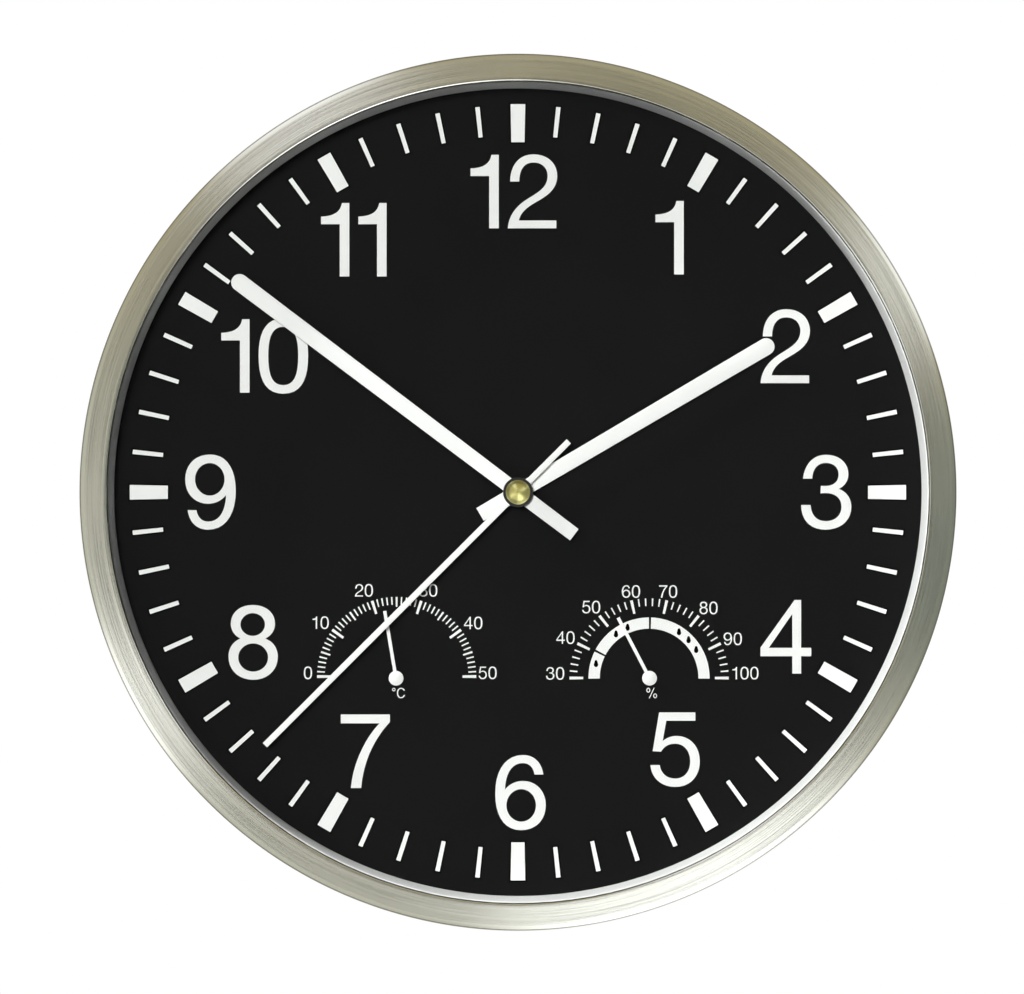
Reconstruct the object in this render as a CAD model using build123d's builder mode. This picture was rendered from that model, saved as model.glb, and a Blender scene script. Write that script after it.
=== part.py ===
from build123d import *
import os
from math import atan2, ceil, cos, degrees, pi, radians, sin

# All sizes are in millimetres. The wall plane is y = 0 and the dial faces -Y.
# A depth is a distance in front of the wall plane.

# Rim, glass and dial
rim_diameter = 300.0
rim_wall = 1.5
rim_face = 9.5
rim_round = 4.0
lip_round = 1.6
lip_height = 4.0
gasket_thickness = 0.5
gasket_width = 3.0
lens_thickness = 2.0
lens_play = 0.5
lens_bevel_share = 0.1
hand_room = 14.2
spacer_wall = 2.0
spacer_taper = 0.5
spacer_flange = 1.6
dial_thickness = 0.8
dial_tuck = 1.8

# Back plate, tabs and hanger
web_thickness = 2.0
pan_wall = 2.5
pan_inset = 0.8
brim_lift = 3.0
brim_thickness = 2.5
brim_play = 0.3
edge_round = 0.8
tab_thickness = 1.2
tab_width = 14.0
tab_leg = 8.0
tab_count = 6
tab_start = 30.0
rib_thickness = 2.0
rib_height = 5.0
rib_angles = (0.0, 35.0, 145.0, 180.0, 200.0, 270.0, 340.0)
hanger_width = 64.0
hanger_height = 32.0
hanger_wall = 2.5
hanger_lift = 3.0
hanger_thickness = 1.5
hanger_margin = 14.0
hanger_screw_inset = 8.0
hanger_post_radius = 3.6
keyhole_radius = 4.5
keyhole_slot = 4.4
keyhole_rise = 9.0

# Screws
screw_radius = 1.5
screw_head_radius = 2.7
screw_head = 1.8
screw_play = 0.2
screw_over = 1.0
hanger_screw_bite = 8.0
screw_crown = 0.45
screw_recess = 0.5
screw_slot = 0.7
small_screw_radius = 1.0
small_screw_head_radius = 1.9
small_screw_head = 1.2
pilot_floor = 0.2

# Fits
press_gap = 0.02
running_gap = 0.05
seat_gap = 0.2
axial_gap = 0.3
slip_gap = 0.1

# Hands and centre cap
hour_angle = 59.6
hour_reach = 102.4
hour_tail = 15.2
hour_tail_width = 5.1
hour_tip_width = 5.9
hour_hub = 4.6
minute_angle = 307.0
minute_reach = 123.2
minute_tail = 24.4
minute_tail_width = 4.9
minute_tip_width = 5.9
minute_hub = 4.4
second_angle = 225.0
second_reach = 123.3
second_tail = 24.8
second_width = 2.1
second_hub = 4.0
hand_thickness = 0.6
second_thickness = 0.4
hand_step = 1.2
shaft_over = 0.4
collar_radius = 5.15
collar_height = 1.2
collar_socket = 1.4
collar_bevel_share = 0.25
cap_radius = 4.2
cap_height = 2.4

# Movement: shafts, wheels and layers
second_shaft = 0.5
minute_shaft = 1.6
hour_pipe = 2.5
bush_radius = 4.0
bush_flange_radius = 6.0
bush_flange = 0.6
nut_across_flats = 9.8
nut_height = 2.0
washer_radius = 5.1
washer_thickness = 0.5
arbor_radius = 0.5
boss_radius = 1.1
wheel_thickness = 0.8
hour_wheel_thickness = 1.0
layer_gap = 1.0
train_gap = 1.3
pinion_over = 0.4
clutch_thickness = 0.7
clutch_radius = 3.4
clutch_bevel_share = 0.5
minute_flange = 0.5
minute_flange_radius = 3.0
movement_wall = 1.2
movement_corner = 3.0
movement_play = 0.5
chamber_room = 1.4
rear_room = 0.9
rear_gap = 4.5
bearing_depth = 1.7
bearing_sink_share = 0.4

# Movement: toothing
second_pinion_teeth = 8
third_wheel_teeth = 60
third_pinion_teeth = 8
centre_wheel_teeth = 64
second_wheel_teeth = 60
step_pinion_teeth = 12
step_wheel_teeth = 48
rotor_pinion_teeth = 8
cannon_teeth = 12
motion_wheel_teeth = 36
motion_pinion_teeth = 10
hour_wheel_teeth = 40
setting_pinion_teeth = 18
train_module = 0.3
rotor_module = 0.25
motion_module = 0.375
tooth_rise = 0.8
tooth_drop = 1.3
wheel_tooth_share = 0.40
pinion_tooth_share = 0.36
tooth_tip_share = 0.45
tooth_root_share = 1.15
third_direction = 160.0
step_direction = 60.0
rotor_direction = 30.0
motion_direction = -10.0
setting_direction = 0.0

# Movement: motor, electronics, battery and knob
magnet_radius = 2.8
magnet_length = 3.4
air_gap = 0.5
stator_land = 1.7
stator_thickness = 1.0
core_width = 3.0
core_thickness = 1.0
coil_offset = 9.2
coil_half_length = 7.5
coil_half_size = 3.2
coil_cheek = 1.0
coil_cheek_over = 0.6
coil_round_share = 0.6
core_overhang = 3.0
board_thickness = 1.0
board_post = 2.3
board_post_radius = 1.4
board_margin = 1.2
chip_radius = 3.6
chip_height = 1.4
chip_round_share = 0.8
chip_place = 0.35
crystal_place = 0.75
crystal_radius = 1.0
crystal_length = 6.0
battery_radius = 7.1
battery_length = 49.0
nub_radius = 2.6
nub_length = 1.2
battery_play = 0.35
contact_thickness = 0.4
contact_half_width = 4.0
contact_strip = 3.0
contact_foot = 3.0
spring_lift = 1.8
spring_foot_share = 0.7
spring_top_share = 0.2
knob_radius = 5.0
knob_height = 2.7
knob_grooves = 36
knob_groove_depth = 0.35
knob_shaft = 1.5
knob_collar = 1.1
knob_collar_length = 2.2

# Thermometer and hygrometer
gauge_drop = 64.4
thermo_offset = -42.2
hygro_offset = 45.6
thermo_angle = 99.6
hygro_angle = 117.5
pointer_reach = 23.6
pointer_width = 1.15
pointer_hub = 2.55
pointer_thickness = 0.6
pointer_lift = 1.2
gauge_shaft = 0.6
cup_radius = 20.0
cup_depth = 9.0
cup_wall = 1.2
cup_ear_reach = 25.5
cup_ear_width = 9.0
cup_ear = 1.5
cup_screw_clearance = 1.325
vent_count = 8
vent_width = 2.4
vent_length = 8.0
vent_circle_share = 0.55
spiral_turns = 5.0
spiral_strip = 0.4
spiral_width = 4.0
spiral_inner = 2.4
spiral_outer = 15.0
spiral_points_per_turn = 24
post_radius = 1.2

# Depths, from the wall to the front of the rim
step_wheel_rear = rear_gap + movement_wall + rear_room + pinion_over
step_wheel_front = step_wheel_rear + wheel_thickness
second_wheel_rear = step_wheel_front + layer_gap + axial_gap
second_wheel_front = second_wheel_rear + wheel_thickness
third_wheel_rear = second_wheel_front + train_gap
third_wheel_front = third_wheel_rear + wheel_thickness
minute_rear = third_wheel_front + layer_gap
centre_wheel_rear = minute_rear + minute_flange + slip_gap
centre_wheel_front = centre_wheel_rear + wheel_thickness
clutch_rear = centre_wheel_front + slip_gap
cannon_rear = clutch_rear + clutch_thickness
motion_wheel_rear = cannon_rear + pinion_over
motion_wheel_front = motion_wheel_rear + wheel_thickness
cannon_front = motion_wheel_front + pinion_over
hour_wheel_rear = motion_wheel_front + layer_gap
hour_wheel_front = hour_wheel_rear + hour_wheel_thickness
movement_front_in = hour_wheel_front + axial_gap + bush_flange
movement_rear_in = rear_gap + movement_wall
web_rear = movement_front_in + movement_wall
dial_rear = web_rear + web_thickness
dial_front = dial_rear + dial_thickness
lens_rear = dial_front + hand_room
lens_front = lens_rear + lens_thickness
lip_rear = lens_front + gasket_thickness
rim_front = lip_rear + lip_height
brim_front = brim_lift + brim_thickness

# Depths of the hands
nut_front = dial_front + washer_thickness + nut_height
bush_front = nut_front + shaft_over
hour_hand_rear = bush_front + shaft_over + axial_gap
hour_pipe_front = hour_hand_rear + hand_thickness + shaft_over
minute_hand_rear = hour_pipe_front + hand_step
minute_shaft_front = minute_hand_rear + hand_thickness + shaft_over
second_hand_rear = minute_shaft_front + hand_step
second_hand_front = second_hand_rear + second_thickness
collar_front = second_hand_front + collar_height
second_shaft_front = second_hand_front + shaft_over

# Radii of the round parts
rim_radius = rim_diameter / 2
rim_inner = rim_radius - rim_wall
lip_radius = rim_radius - rim_face
lens_radius = rim_inner - lens_play
spacer_foot = lip_radius - spacer_taper
dial_radius = spacer_foot + dial_tuck
pan_radius = dial_radius - pan_inset
pan_inner = pan_radius - pan_wall
brim_radius = rim_inner - brim_play
rim_screw_circle = (pan_radius + rim_inner) / 2
hanger_level = pan_inner - hanger_margin - hanger_height / 2
hour_bore = minute_shaft + running_gap
minute_bore = second_shaft + running_gap
bush_bore = hour_pipe + running_gap


def polar(radius, angle, origin=(0.0, 0.0)):
    """Point at a radius and an angle in degrees around an origin, seen from the front."""
    return (origin[0] + radius * cos(radians(angle)), origin[1] + radius * sin(radians(angle)))


def facing(depth, at=(0.0, 0.0), turn=0.0):
    """Plane that faces the viewer at a depth, centred on a point and turned by an angle."""
    across = (cos(radians(turn)), 0, sin(radians(turn)))
    return Plane(origin=(at[0], -depth, at[1]), x_dir=across, z_dir=(0, -1, 0))


def meshing(direction, phase, teeth, mate_teeth):
    """Angle of a tooth of the mate so that its gap meets the teeth of a wheel at a given phase."""
    pitch = 360.0 / teeth
    part_turn = ((direction - phase) / pitch) % 1.0
    return direction + 180.0 + (part_turn + 0.5) * 360.0 / mate_teeth


def tip_radius(module, teeth):
    """Outer radius of a toothed wheel."""
    return module * (teeth / 2 + tooth_rise)


# Centre distances and axes of the train
third_distance = train_module * (second_pinion_teeth + third_wheel_teeth) / 2
centre_module = 2 * third_distance / (third_pinion_teeth + centre_wheel_teeth)
step_distance = train_module * (second_wheel_teeth + step_pinion_teeth) / 2
rotor_distance = rotor_module * (step_wheel_teeth + rotor_pinion_teeth) / 2
motion_distance = motion_module * (cannon_teeth + motion_wheel_teeth) / 2
hour_module = 2 * motion_distance / (motion_pinion_teeth + hour_wheel_teeth)
setting_distance = motion_module * (motion_wheel_teeth + setting_pinion_teeth) / 2
third_axis = polar(third_distance, third_direction)
step_axis = polar(step_distance, step_direction)
rotor_axis = polar(rotor_distance, rotor_direction, step_axis)
motion_axis = polar(motion_distance, motion_direction)
setting_axis = polar(setting_distance, setting_direction, motion_axis)
thermo_axis = (thermo_offset, -gauge_drop)
hygro_axis = (hygro_offset, -gauge_drop)

# Tooth phases, so that every pair is in mesh at rest
second_pinion_phase = 0.0
third_wheel_phase = meshing(third_direction, second_pinion_phase, second_pinion_teeth, third_wheel_teeth)
third_pinion_phase = 0.0
centre_wheel_phase = meshing(
    third_direction + 180.0, third_pinion_phase, third_pinion_teeth, centre_wheel_teeth
)
second_wheel_phase = 0.0
step_pinion_phase = meshing(step_direction, second_wheel_phase, second_wheel_teeth, step_pinion_teeth)
step_wheel_phase = 0.0
rotor_pinion_phase = meshing(rotor_direction, step_wheel_phase, step_wheel_teeth, rotor_pinion_teeth)
cannon_phase = 0.0
motion_wheel_phase = meshing(motion_direction, cannon_phase, cannon_teeth, motion_wheel_teeth)
motion_pinion_phase = 0.0
hour_wheel_phase = meshing(
    motion_direction + 180.0, motion_pinion_phase, motion_pinion_teeth, hour_wheel_teeth
)
setting_phase = meshing(
    setting_direction, motion_wheel_phase, motion_wheel_teeth, setting_pinion_teeth
)

# Outline of the movement
wheel_reach = max(
    tip_radius(train_module, second_wheel_teeth), tip_radius(centre_module, centre_wheel_teeth)
)
battery_reach = battery_length + nub_length
bay_half = battery_reach / 2 + contact_thickness + axial_gap + spring_lift / 2
chamber_bottom = -wheel_reach - chamber_room
bay_top = chamber_bottom - movement_wall
bay_bottom = bay_top - 2 * (battery_radius + battery_play)
battery_level = (bay_top + bay_bottom) / 2
battery_depth = movement_front_in - axial_gap - battery_radius
coil_level = rotor_axis[1] + coil_offset
cheek_half = coil_half_size + coil_cheek_over
chamber_top = coil_level + cheek_half + contact_thickness + 2 * axial_gap
movement_half = bay_half + movement_wall
movement_top = chamber_top + movement_wall
movement_bottom = bay_bottom - movement_wall
movement_middle = (movement_top + movement_bottom) / 2
movement_height = movement_top - movement_bottom
board_rear = movement_front_in - board_post - board_thickness
stator_rear = second_wheel_front + layer_gap
stator_front = stator_rear + stator_thickness
coil_depth = stator_front + core_thickness / 2
magnet_rear = (stator_rear + stator_front - magnet_length) / 2
magnet_front = magnet_rear + magnet_length
knob_front = rear_gap - axial_gap
knob_rear = knob_front - knob_height


class GearOutline(BaseSketchObject):
    """Toothed outline around the origin with tapered straight teeth."""

    def __init__(self, module, teeth, share, phase=0.0, mode=Mode.ADD):
        pitch_radius = module * teeth / 2
        half = pi * module * share / 2
        flank = (
            (pitch_radius - tooth_drop * module, half * tooth_root_share),
            (pitch_radius, half),
            (pitch_radius + tooth_rise * module, half * tooth_tip_share),
        )
        points = []
        for tooth in range(teeth):
            middle = phase + tooth * 360.0 / teeth
            points += [polar(r, middle - degrees(h / r)) for r, h in flank]
            points += [polar(r, middle + degrees(h / r)) for r, h in reversed(flank)]
        with BuildSketch() as outline:
            with BuildLine():
                Polyline(*points, close=True)
            make_face()
        super().__init__(outline.sketch, mode=mode)


class HandOutline(BaseSketchObject):
    """Hand along local +Y: a bar that widens from a square tail to a round tip, with a round hub."""

    def __init__(self, reach, tail, tail_width, tip_width, hub, bore, mode=Mode.ADD):
        tip = tip_width / 2
        foot = tail_width / 2
        with BuildSketch() as outline:
            with BuildLine():
                Polyline((-foot, -tail), (foot, -tail), (tip, reach - tip), (-tip, reach - tip), close=True)
            make_face()
            with Locations((0, reach - tip)):
                Circle(tip)
            Circle(hub)
            Circle(bore, mode=Mode.SUBTRACT)
        super().__init__(outline.sketch, mode=mode)


class SpiralStrip(BaseSketchObject):
    """Flat spiral strip from a collet around the shaft out to a tongue at the outer end."""

    def __init__(self, inner, outer, turns, thickness, collet_bore, collet_radius, mode=Mode.ADD):
        steps = ceil(turns * spiral_points_per_turn)
        angles = [360.0 * turns * k / steps for k in range(steps + 1)]
        radii = [inner + (outer - inner) * k / steps for k in range(steps + 1)]
        near = [polar(r - thickness / 2, a) for r, a in zip(radii, angles)]
        far = [polar(r + thickness / 2, a) for r, a in zip(radii, angles)]
        with BuildSketch() as outline:
            with BuildLine():
                Spline(*near)
                Line(near[-1], far[-1])
                Spline(*far)
                Line(far[0], near[0])
            make_face()
            Circle(collet_radius)
            with Locations(((collet_radius + inner) / 2, thickness / 2)):
                Rectangle(inner - collet_radius + 2 * thickness, thickness)
            Circle(collet_bore, mode=Mode.SUBTRACT)
        super().__init__(outline.sketch, mode=mode)


class CrossScrew(BasePartObject):
    """Pan head screw with a cross recess. The shank points along +Z from the seat at z = 0."""

    def __init__(self, radius, length, head_radius, head_height, mode=Mode.ADD):
        with BuildPart() as screw:
            with BuildSketch():
                Circle(radius)
            extrude(amount=length)
            with BuildSketch():
                Circle(head_radius)
            extrude(amount=-head_height)
            crown = screw.edges().group_by(Axis.Z)[0]
            fillet(crown, head_height * screw_crown)
            with BuildSketch(Plane.XY.offset(-head_height)):
                Rectangle(head_radius, screw_slot)
                Rectangle(screw_slot, head_radius)
            extrude(amount=head_height * screw_recess, mode=Mode.SUBTRACT)
        super().__init__(screw.part, mode=mode)


class PointerOutline(BaseSketchObject):
    """Gauge pointer along local +X with a round hub."""

    def __init__(self, reach, width, hub, bore, mode=Mode.ADD):
        with BuildSketch() as outline:
            with Locations((reach / 2, 0)):
                Rectangle(reach, width)
            Circle(hub)
            Circle(bore, mode=Mode.SUBTRACT)
        super().__init__(outline.sketch, mode=mode)


# Bezel: one spun sheet with a rounded front and a short inner lip
with BuildPart() as bezel:
    with BuildSketch(Plane.XY):
        with BuildLine():
            inner_round = rim_round - rim_wall
            shoulder = -(rim_front - rim_round)
            brow = -(rim_front - lip_round)
            Line((rim_inner, 0), (rim_radius, 0))
            Line((rim_radius, 0), (rim_radius, shoulder))
            CenterArc((rim_radius - rim_round, shoulder), rim_round, 0, -90)
            Line((rim_radius - rim_round, -rim_front), (lip_radius + lip_round, -rim_front))
            CenterArc((lip_radius + lip_round, brow), lip_round, -90, -90)
            Line((lip_radius, brow), (lip_radius, -lip_rear))
            Line((lip_radius, -lip_rear), (lip_radius + rim_wall, -lip_rear))
            Line((lip_radius + rim_wall, -lip_rear), (lip_radius + rim_wall, -(rim_front - rim_wall)))
            Line(
                (lip_radius + rim_wall, -(rim_front - rim_wall)),
                (rim_radius - rim_round, -(rim_front - rim_wall)),
            )
            CenterArc((rim_radius - rim_round, shoulder), inner_round, -90, 90)
            Line((rim_inner, shoulder), (rim_inner, 0))
        make_face()
    revolve(axis=Axis.Y)

# Tabs on the inside of the rim: a leg along the wall and a foot for the screw
with BuildPart() as rim_tabs:
    with BuildSketch(facing(brim_front)):
        with PolarLocations(rim_inner, tab_count, tab_start):
            Rectangle(2 * (rim_inner - pan_radius - pan_inset), tab_width)
        Circle(rim_inner - press_gap, mode=Mode.INTERSECT)
        with PolarLocations(rim_screw_circle, tab_count, tab_start):
            Circle(screw_radius + press_gap, mode=Mode.SUBTRACT)
    extrude(amount=tab_thickness)
    with BuildSketch(facing(brim_front + tab_thickness)):
        with PolarLocations(rim_inner, tab_count, tab_start):
            Rectangle(2 * (rim_inner - pan_radius - pan_inset), tab_width)
        Circle(rim_inner - press_gap, mode=Mode.INTERSECT)
        Circle(rim_inner - press_gap - tab_thickness, mode=Mode.SUBTRACT)
    extrude(amount=tab_leg)

# Gasket, glass and spacer
with BuildPart() as lens_gasket:
    with BuildSketch(facing(lens_front)):
        Circle(lip_radius + gasket_width)
        Circle(lip_radius + seat_gap, mode=Mode.SUBTRACT)
    extrude(amount=gasket_thickness)

with BuildPart() as lens:
    with BuildSketch(facing(lens_rear)):
        Circle(lens_radius)
    extrude(amount=lens_thickness)
    chamfer(lens.edges().filter_by(GeomType.CIRCLE), lens_thickness * lens_bevel_share)

with BuildPart() as spacer_ring:
    with BuildSketch(Plane.XY):
        with BuildLine():
            Polyline(
                (spacer_foot, -dial_front),
                (spacer_foot + spacer_wall, -dial_front),
                (lip_radius + spacer_wall, -(lens_rear - spacer_flange)),
                (lens_radius - lens_play, -(lens_rear - spacer_flange)),
                (lens_radius - lens_play, -lens_rear),
                (lip_radius, -lens_rear),
                close=True,
            )
        make_face()
    revolve(axis=Axis.Y)

# Dial: a thin disc with a hole for the bush and one for each gauge shaft
with BuildPart() as dial:
    with BuildSketch(facing(dial_rear)):
        Circle(dial_radius)
        Circle(bush_radius + seat_gap, mode=Mode.SUBTRACT)
        with Locations(thermo_axis, hygro_axis):
            Circle(gauge_shaft + seat_gap, mode=Mode.SUBTRACT)
    extrude(amount=dial_thickness)

# Back plate: a pan that carries the dial, with a brim, ribs, a hanger box and pilot holes
gauge_axes = (thermo_axis, hygro_axis)
gauge_screw_circle = cup_radius + cup_screw_clearance + small_screw_head_radius
gauge_screw_points = [
    (axis[0] + side * gauge_screw_circle, axis[1]) for axis in gauge_axes for side in (-1, 1)
]
hanger_screw_points = [
    (side * (hanger_width / 2 - hanger_screw_inset), hanger_level) for side in (-1, 1)
]
hanger_front = hanger_lift + hanger_thickness
with BuildPart() as back_plate:
    with BuildSketch(Plane.XY):
        with BuildLine():
            Polyline(
                (0, -dial_rear),
                (pan_radius, -dial_rear),
                (pan_radius, -brim_front),
                (brim_radius, -brim_front),
                (brim_radius, -brim_lift),
                (pan_inner, -brim_lift),
                (pan_inner, -web_rear),
                (0, -web_rear),
                close=True,
            )
        make_face()
    revolve(axis=Axis.Y)
    fillet(back_plate.edges().filter_by(GeomType.CIRCLE).group_by(Axis.Y)[-1], edge_round)
    with BuildSketch(facing(web_rear - rib_height)):
        for angle in rib_angles:
            with Locations(polar(pan_inner / 2, angle)):
                Rectangle(pan_inner + pan_wall, rib_thickness, rotation=angle)
        with Locations((0, movement_middle)):
            Rectangle(
                2 * (movement_half + movement_play + rib_thickness),
                movement_height + 2 * (movement_play + rib_thickness),
            )
            Rectangle(
                2 * (movement_half + movement_play),
                movement_height + 2 * movement_play,
                mode=Mode.SUBTRACT,
            )
    extrude(amount=rib_height)
    with BuildSketch(facing(hanger_front)):
        with Locations((0, hanger_level)):
            RectangleRounded(hanger_width, hanger_height, hanger_wall)
            Rectangle(
                hanger_width - 2 * hanger_wall, hanger_height - 2 * hanger_wall, mode=Mode.SUBTRACT
            )
        with Locations(*hanger_screw_points):
            Circle(hanger_post_radius)
            Rectangle(rib_thickness, hanger_height - hanger_wall)
    extrude(amount=web_rear - hanger_front)
    with BuildSketch(facing(hanger_front)):
        with Locations(*hanger_screw_points):
            Circle(screw_radius + press_gap)
    extrude(amount=web_rear - hanger_front, mode=Mode.SUBTRACT)
    with BuildSketch(facing(brim_lift)):
        with PolarLocations(rim_screw_circle, tab_count, tab_start):
            Circle(screw_radius + screw_play)
    extrude(amount=brim_thickness, mode=Mode.SUBTRACT)
    with BuildSketch(facing(web_rear)):
        Circle(bush_radius + seat_gap)
        with Locations(*gauge_axes):
            Circle(gauge_shaft + running_gap)
    extrude(amount=web_thickness, mode=Mode.SUBTRACT)
    with BuildSketch(facing(web_rear)):
        with Locations(*gauge_screw_points):
            Circle(small_screw_radius + press_gap)
    extrude(amount=web_thickness - pilot_floor, mode=Mode.SUBTRACT)

with BuildPart(facing(brim_lift)) as rim_screws:
    with PolarLocations(rim_screw_circle, tab_count, tab_start):
        CrossScrew(
            screw_radius, brim_thickness + tab_thickness + screw_over, screw_head_radius, screw_head
        )

# Hanger: steel plate with a keyhole whose slot runs upwards
with BuildPart() as hanger_plate:
    with BuildSketch(facing(hanger_lift, (0, hanger_level))):
        RectangleRounded(hanger_width, hanger_height, hanger_wall)
        Circle(keyhole_radius, mode=Mode.SUBTRACT)
        with Locations((0, keyhole_rise / 2)):
            Rectangle(keyhole_slot, keyhole_rise, mode=Mode.SUBTRACT)
        with Locations((0, keyhole_rise)):
            Circle(keyhole_slot / 2, mode=Mode.SUBTRACT)
    extrude(amount=hanger_thickness)
    with BuildSketch(facing(hanger_lift)):
        with Locations(*hanger_screw_points):
            Circle(screw_radius + screw_play)
    extrude(amount=hanger_thickness, mode=Mode.SUBTRACT)

with BuildPart(facing(hanger_lift)) as hanger_screws:
    with Locations(*hanger_screw_points):
        CrossScrew(screw_radius, hanger_thickness + hanger_screw_bite, screw_head_radius, screw_head)

# Movement case: box with a wheel chamber above and a battery bay below
bearing_posts = (
    (third_axis, boss_radius, arbor_radius, centre_wheel_front + pinion_over + axial_gap),
    (step_axis, boss_radius, arbor_radius, second_wheel_front + pinion_over + layer_gap),
    (rotor_axis, boss_radius, arbor_radius, magnet_front + axial_gap),
    (setting_axis, boss_radius + axial_gap, arbor_radius + axial_gap, cannon_front + axial_gap),
)
strip_rear = board_rear - contact_strip
board_left = -bay_half + board_margin
board_right = -board_margin
board_bottom = third_axis[1] + tip_radius(train_module, third_wheel_teeth) + board_margin
board_top = chamber_top - board_margin
board_posts = [
    (x, z)
    for x in (board_left + 2 * board_post_radius, board_right - 2 * board_post_radius)
    for z in (board_bottom + 2 * board_post_radius, board_top - 3 * board_post_radius)
]
with BuildPart() as movement_case:
    with BuildSketch(facing(rear_gap, (0, movement_middle))):
        RectangleRounded(2 * movement_half, movement_height, movement_corner)
    extrude(amount=web_rear - rear_gap)
    with BuildSketch(facing(rear_gap)):
        with Locations((0, (chamber_top + chamber_bottom) / 2)):
            Rectangle(2 * bay_half, chamber_top - chamber_bottom)
        with Locations((0, battery_level)):
            Rectangle(2 * bay_half, bay_top - bay_bottom)
    extrude(amount=movement_front_in - rear_gap, mode=Mode.SUBTRACT)
    with BuildSketch(facing(rear_gap)):
        with Locations((0, (movement_top + bay_top) / 2)):
            Rectangle(2 * movement_half, movement_top - bay_top)
    extrude(amount=movement_wall, mode=Mode.SUBTRACT)
    for axis, radius, bore, rear in bearing_posts:
        with BuildSketch(facing(rear, axis)):
            Circle(radius)
        extrude(amount=movement_front_in - rear)
        with BuildSketch(facing(rear, axis)):
            Circle(bore + running_gap)
        extrude(amount=bearing_depth + axial_gap, mode=Mode.SUBTRACT)
    with BuildSketch(facing(motion_wheel_rear - pinion_over, motion_axis)):
        Circle(arbor_radius + axial_gap)
    extrude(amount=movement_front_in - motion_wheel_rear + pinion_over)
    with BuildSketch(facing(board_rear + board_thickness)):
        with Locations(*board_posts):
            Circle(board_post_radius)
    extrude(amount=board_post)
    with BuildSketch(facing(movement_front_in)):
        Circle(bush_radius + seat_gap)
    extrude(amount=movement_wall, mode=Mode.SUBTRACT)
    with BuildSketch(facing(strip_rear - slip_gap)):
        with Locations((0, (bay_top + chamber_bottom) / 2)):
            Rectangle(2 * bay_half, movement_wall)
            Rectangle(2 * (bay_half - contact_thickness - 2 * slip_gap), movement_wall, mode=Mode.SUBTRACT)
    extrude(amount=contact_strip + 2 * slip_gap, mode=Mode.SUBTRACT)

# Movement cover: lid over the wheel chamber, with the rear bearings
rear_bearings = (
    ((0.0, 0.0), second_shaft, second_wheel_rear - 2 * axial_gap),
    (third_axis, arbor_radius, second_wheel_rear - 2 * axial_gap),
    (step_axis, arbor_radius, step_wheel_rear - axial_gap),
    (rotor_axis, arbor_radius, step_wheel_rear - pinion_over - axial_gap),
)
bearing_floor = movement_rear_in - bearing_sink_share * movement_wall
knob_collar_front = movement_rear_in + knob_collar_length
with BuildPart() as movement_cover:
    with BuildSketch(facing(rear_gap, (0, movement_middle))):
        RectangleRounded(2 * movement_half, movement_height, movement_corner)
        with Locations((0, (movement_top + bay_top) / 2 - movement_middle)):
            Rectangle(2 * movement_half, movement_top - bay_top - 2 * slip_gap, mode=Mode.INTERSECT)
    extrude(amount=movement_wall)
    for axis, bore, front in rear_bearings:
        with BuildSketch(facing(movement_rear_in, axis)):
            Circle(boss_radius + seat_gap)
        extrude(amount=front - movement_rear_in)
        with BuildSketch(facing(bearing_floor, axis)):
            Circle(bore + running_gap)
        extrude(amount=front - bearing_floor, mode=Mode.SUBTRACT)
    with BuildSketch(facing(movement_rear_in, setting_axis)):
        Circle(knob_shaft + knob_collar)
    extrude(amount=knob_collar_front - movement_rear_in)
    with BuildSketch(facing(rear_gap, setting_axis)):
        Circle(knob_shaft + running_gap)
    extrude(amount=knob_collar_front - rear_gap, mode=Mode.SUBTRACT)

# Bush, washer and nut that clamp the movement to the back plate and dial
with BuildPart() as mounting_bush:
    with BuildSketch(facing(movement_front_in - bush_flange)):
        Circle(bush_flange_radius)
    extrude(amount=bush_flange)
    with BuildSketch(facing(movement_front_in)):
        Circle(bush_radius)
    extrude(amount=bush_front - movement_front_in)
    with BuildSketch(facing(movement_front_in - bush_flange)):
        Circle(bush_bore)
    extrude(amount=bush_front - movement_front_in + bush_flange, mode=Mode.SUBTRACT)

with BuildPart() as bush_washer:
    with BuildSketch(facing(dial_front)):
        Circle(washer_radius)
        Circle(bush_radius + press_gap, mode=Mode.SUBTRACT)
    extrude(amount=washer_thickness)

with BuildPart() as bush_nut:
    with BuildSketch(facing(dial_front + washer_thickness)):
        RegularPolygon(nut_across_flats / 2, 6, major_radius=False)
        Circle(bush_radius + press_gap, mode=Mode.SUBTRACT)
    extrude(amount=nut_height)

# Motor: rotor with its magnet, stator, core and coil
with BuildPart() as rotor:
    with BuildSketch(facing(step_wheel_rear - pinion_over, rotor_axis)):
        GearOutline(rotor_module, rotor_pinion_teeth, pinion_tooth_share, rotor_pinion_phase)
    extrude(amount=wheel_thickness + 2 * pinion_over)
    with BuildSketch(facing(bearing_floor + slip_gap, rotor_axis)):
        Circle(arbor_radius)
    extrude(amount=magnet_front + axial_gap + bearing_depth - bearing_floor - slip_gap)

with BuildPart() as rotor_magnet:
    with BuildSketch(facing(magnet_rear, rotor_axis)):
        Circle(magnet_radius)
        Circle(arbor_radius + press_gap, mode=Mode.SUBTRACT)
    extrude(amount=magnet_length)

pole_radius = magnet_radius + air_gap
core_half = coil_half_length + coil_cheek + core_overhang
arm_inner = coil_half_length + coil_cheek + axial_gap
arm_top = coil_offset - cheek_half - axial_gap
arm_end = coil_offset + core_width / 2
with BuildPart() as stator:
    with BuildSketch(facing(stator_rear, rotor_axis)):
        Circle(pole_radius + stator_land)
        with BuildLine():
            Polyline(
                (0, arm_top - core_width),
                (-core_half, arm_top - core_width),
                (-core_half, arm_end),
                (-arm_inner, arm_end),
                (-arm_inner, arm_top),
                (0, arm_top),
                close=True,
            )
        make_face()
        mirror(about=Plane.YZ)
        Circle(pole_radius, mode=Mode.SUBTRACT)
    extrude(amount=stator_thickness)

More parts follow.
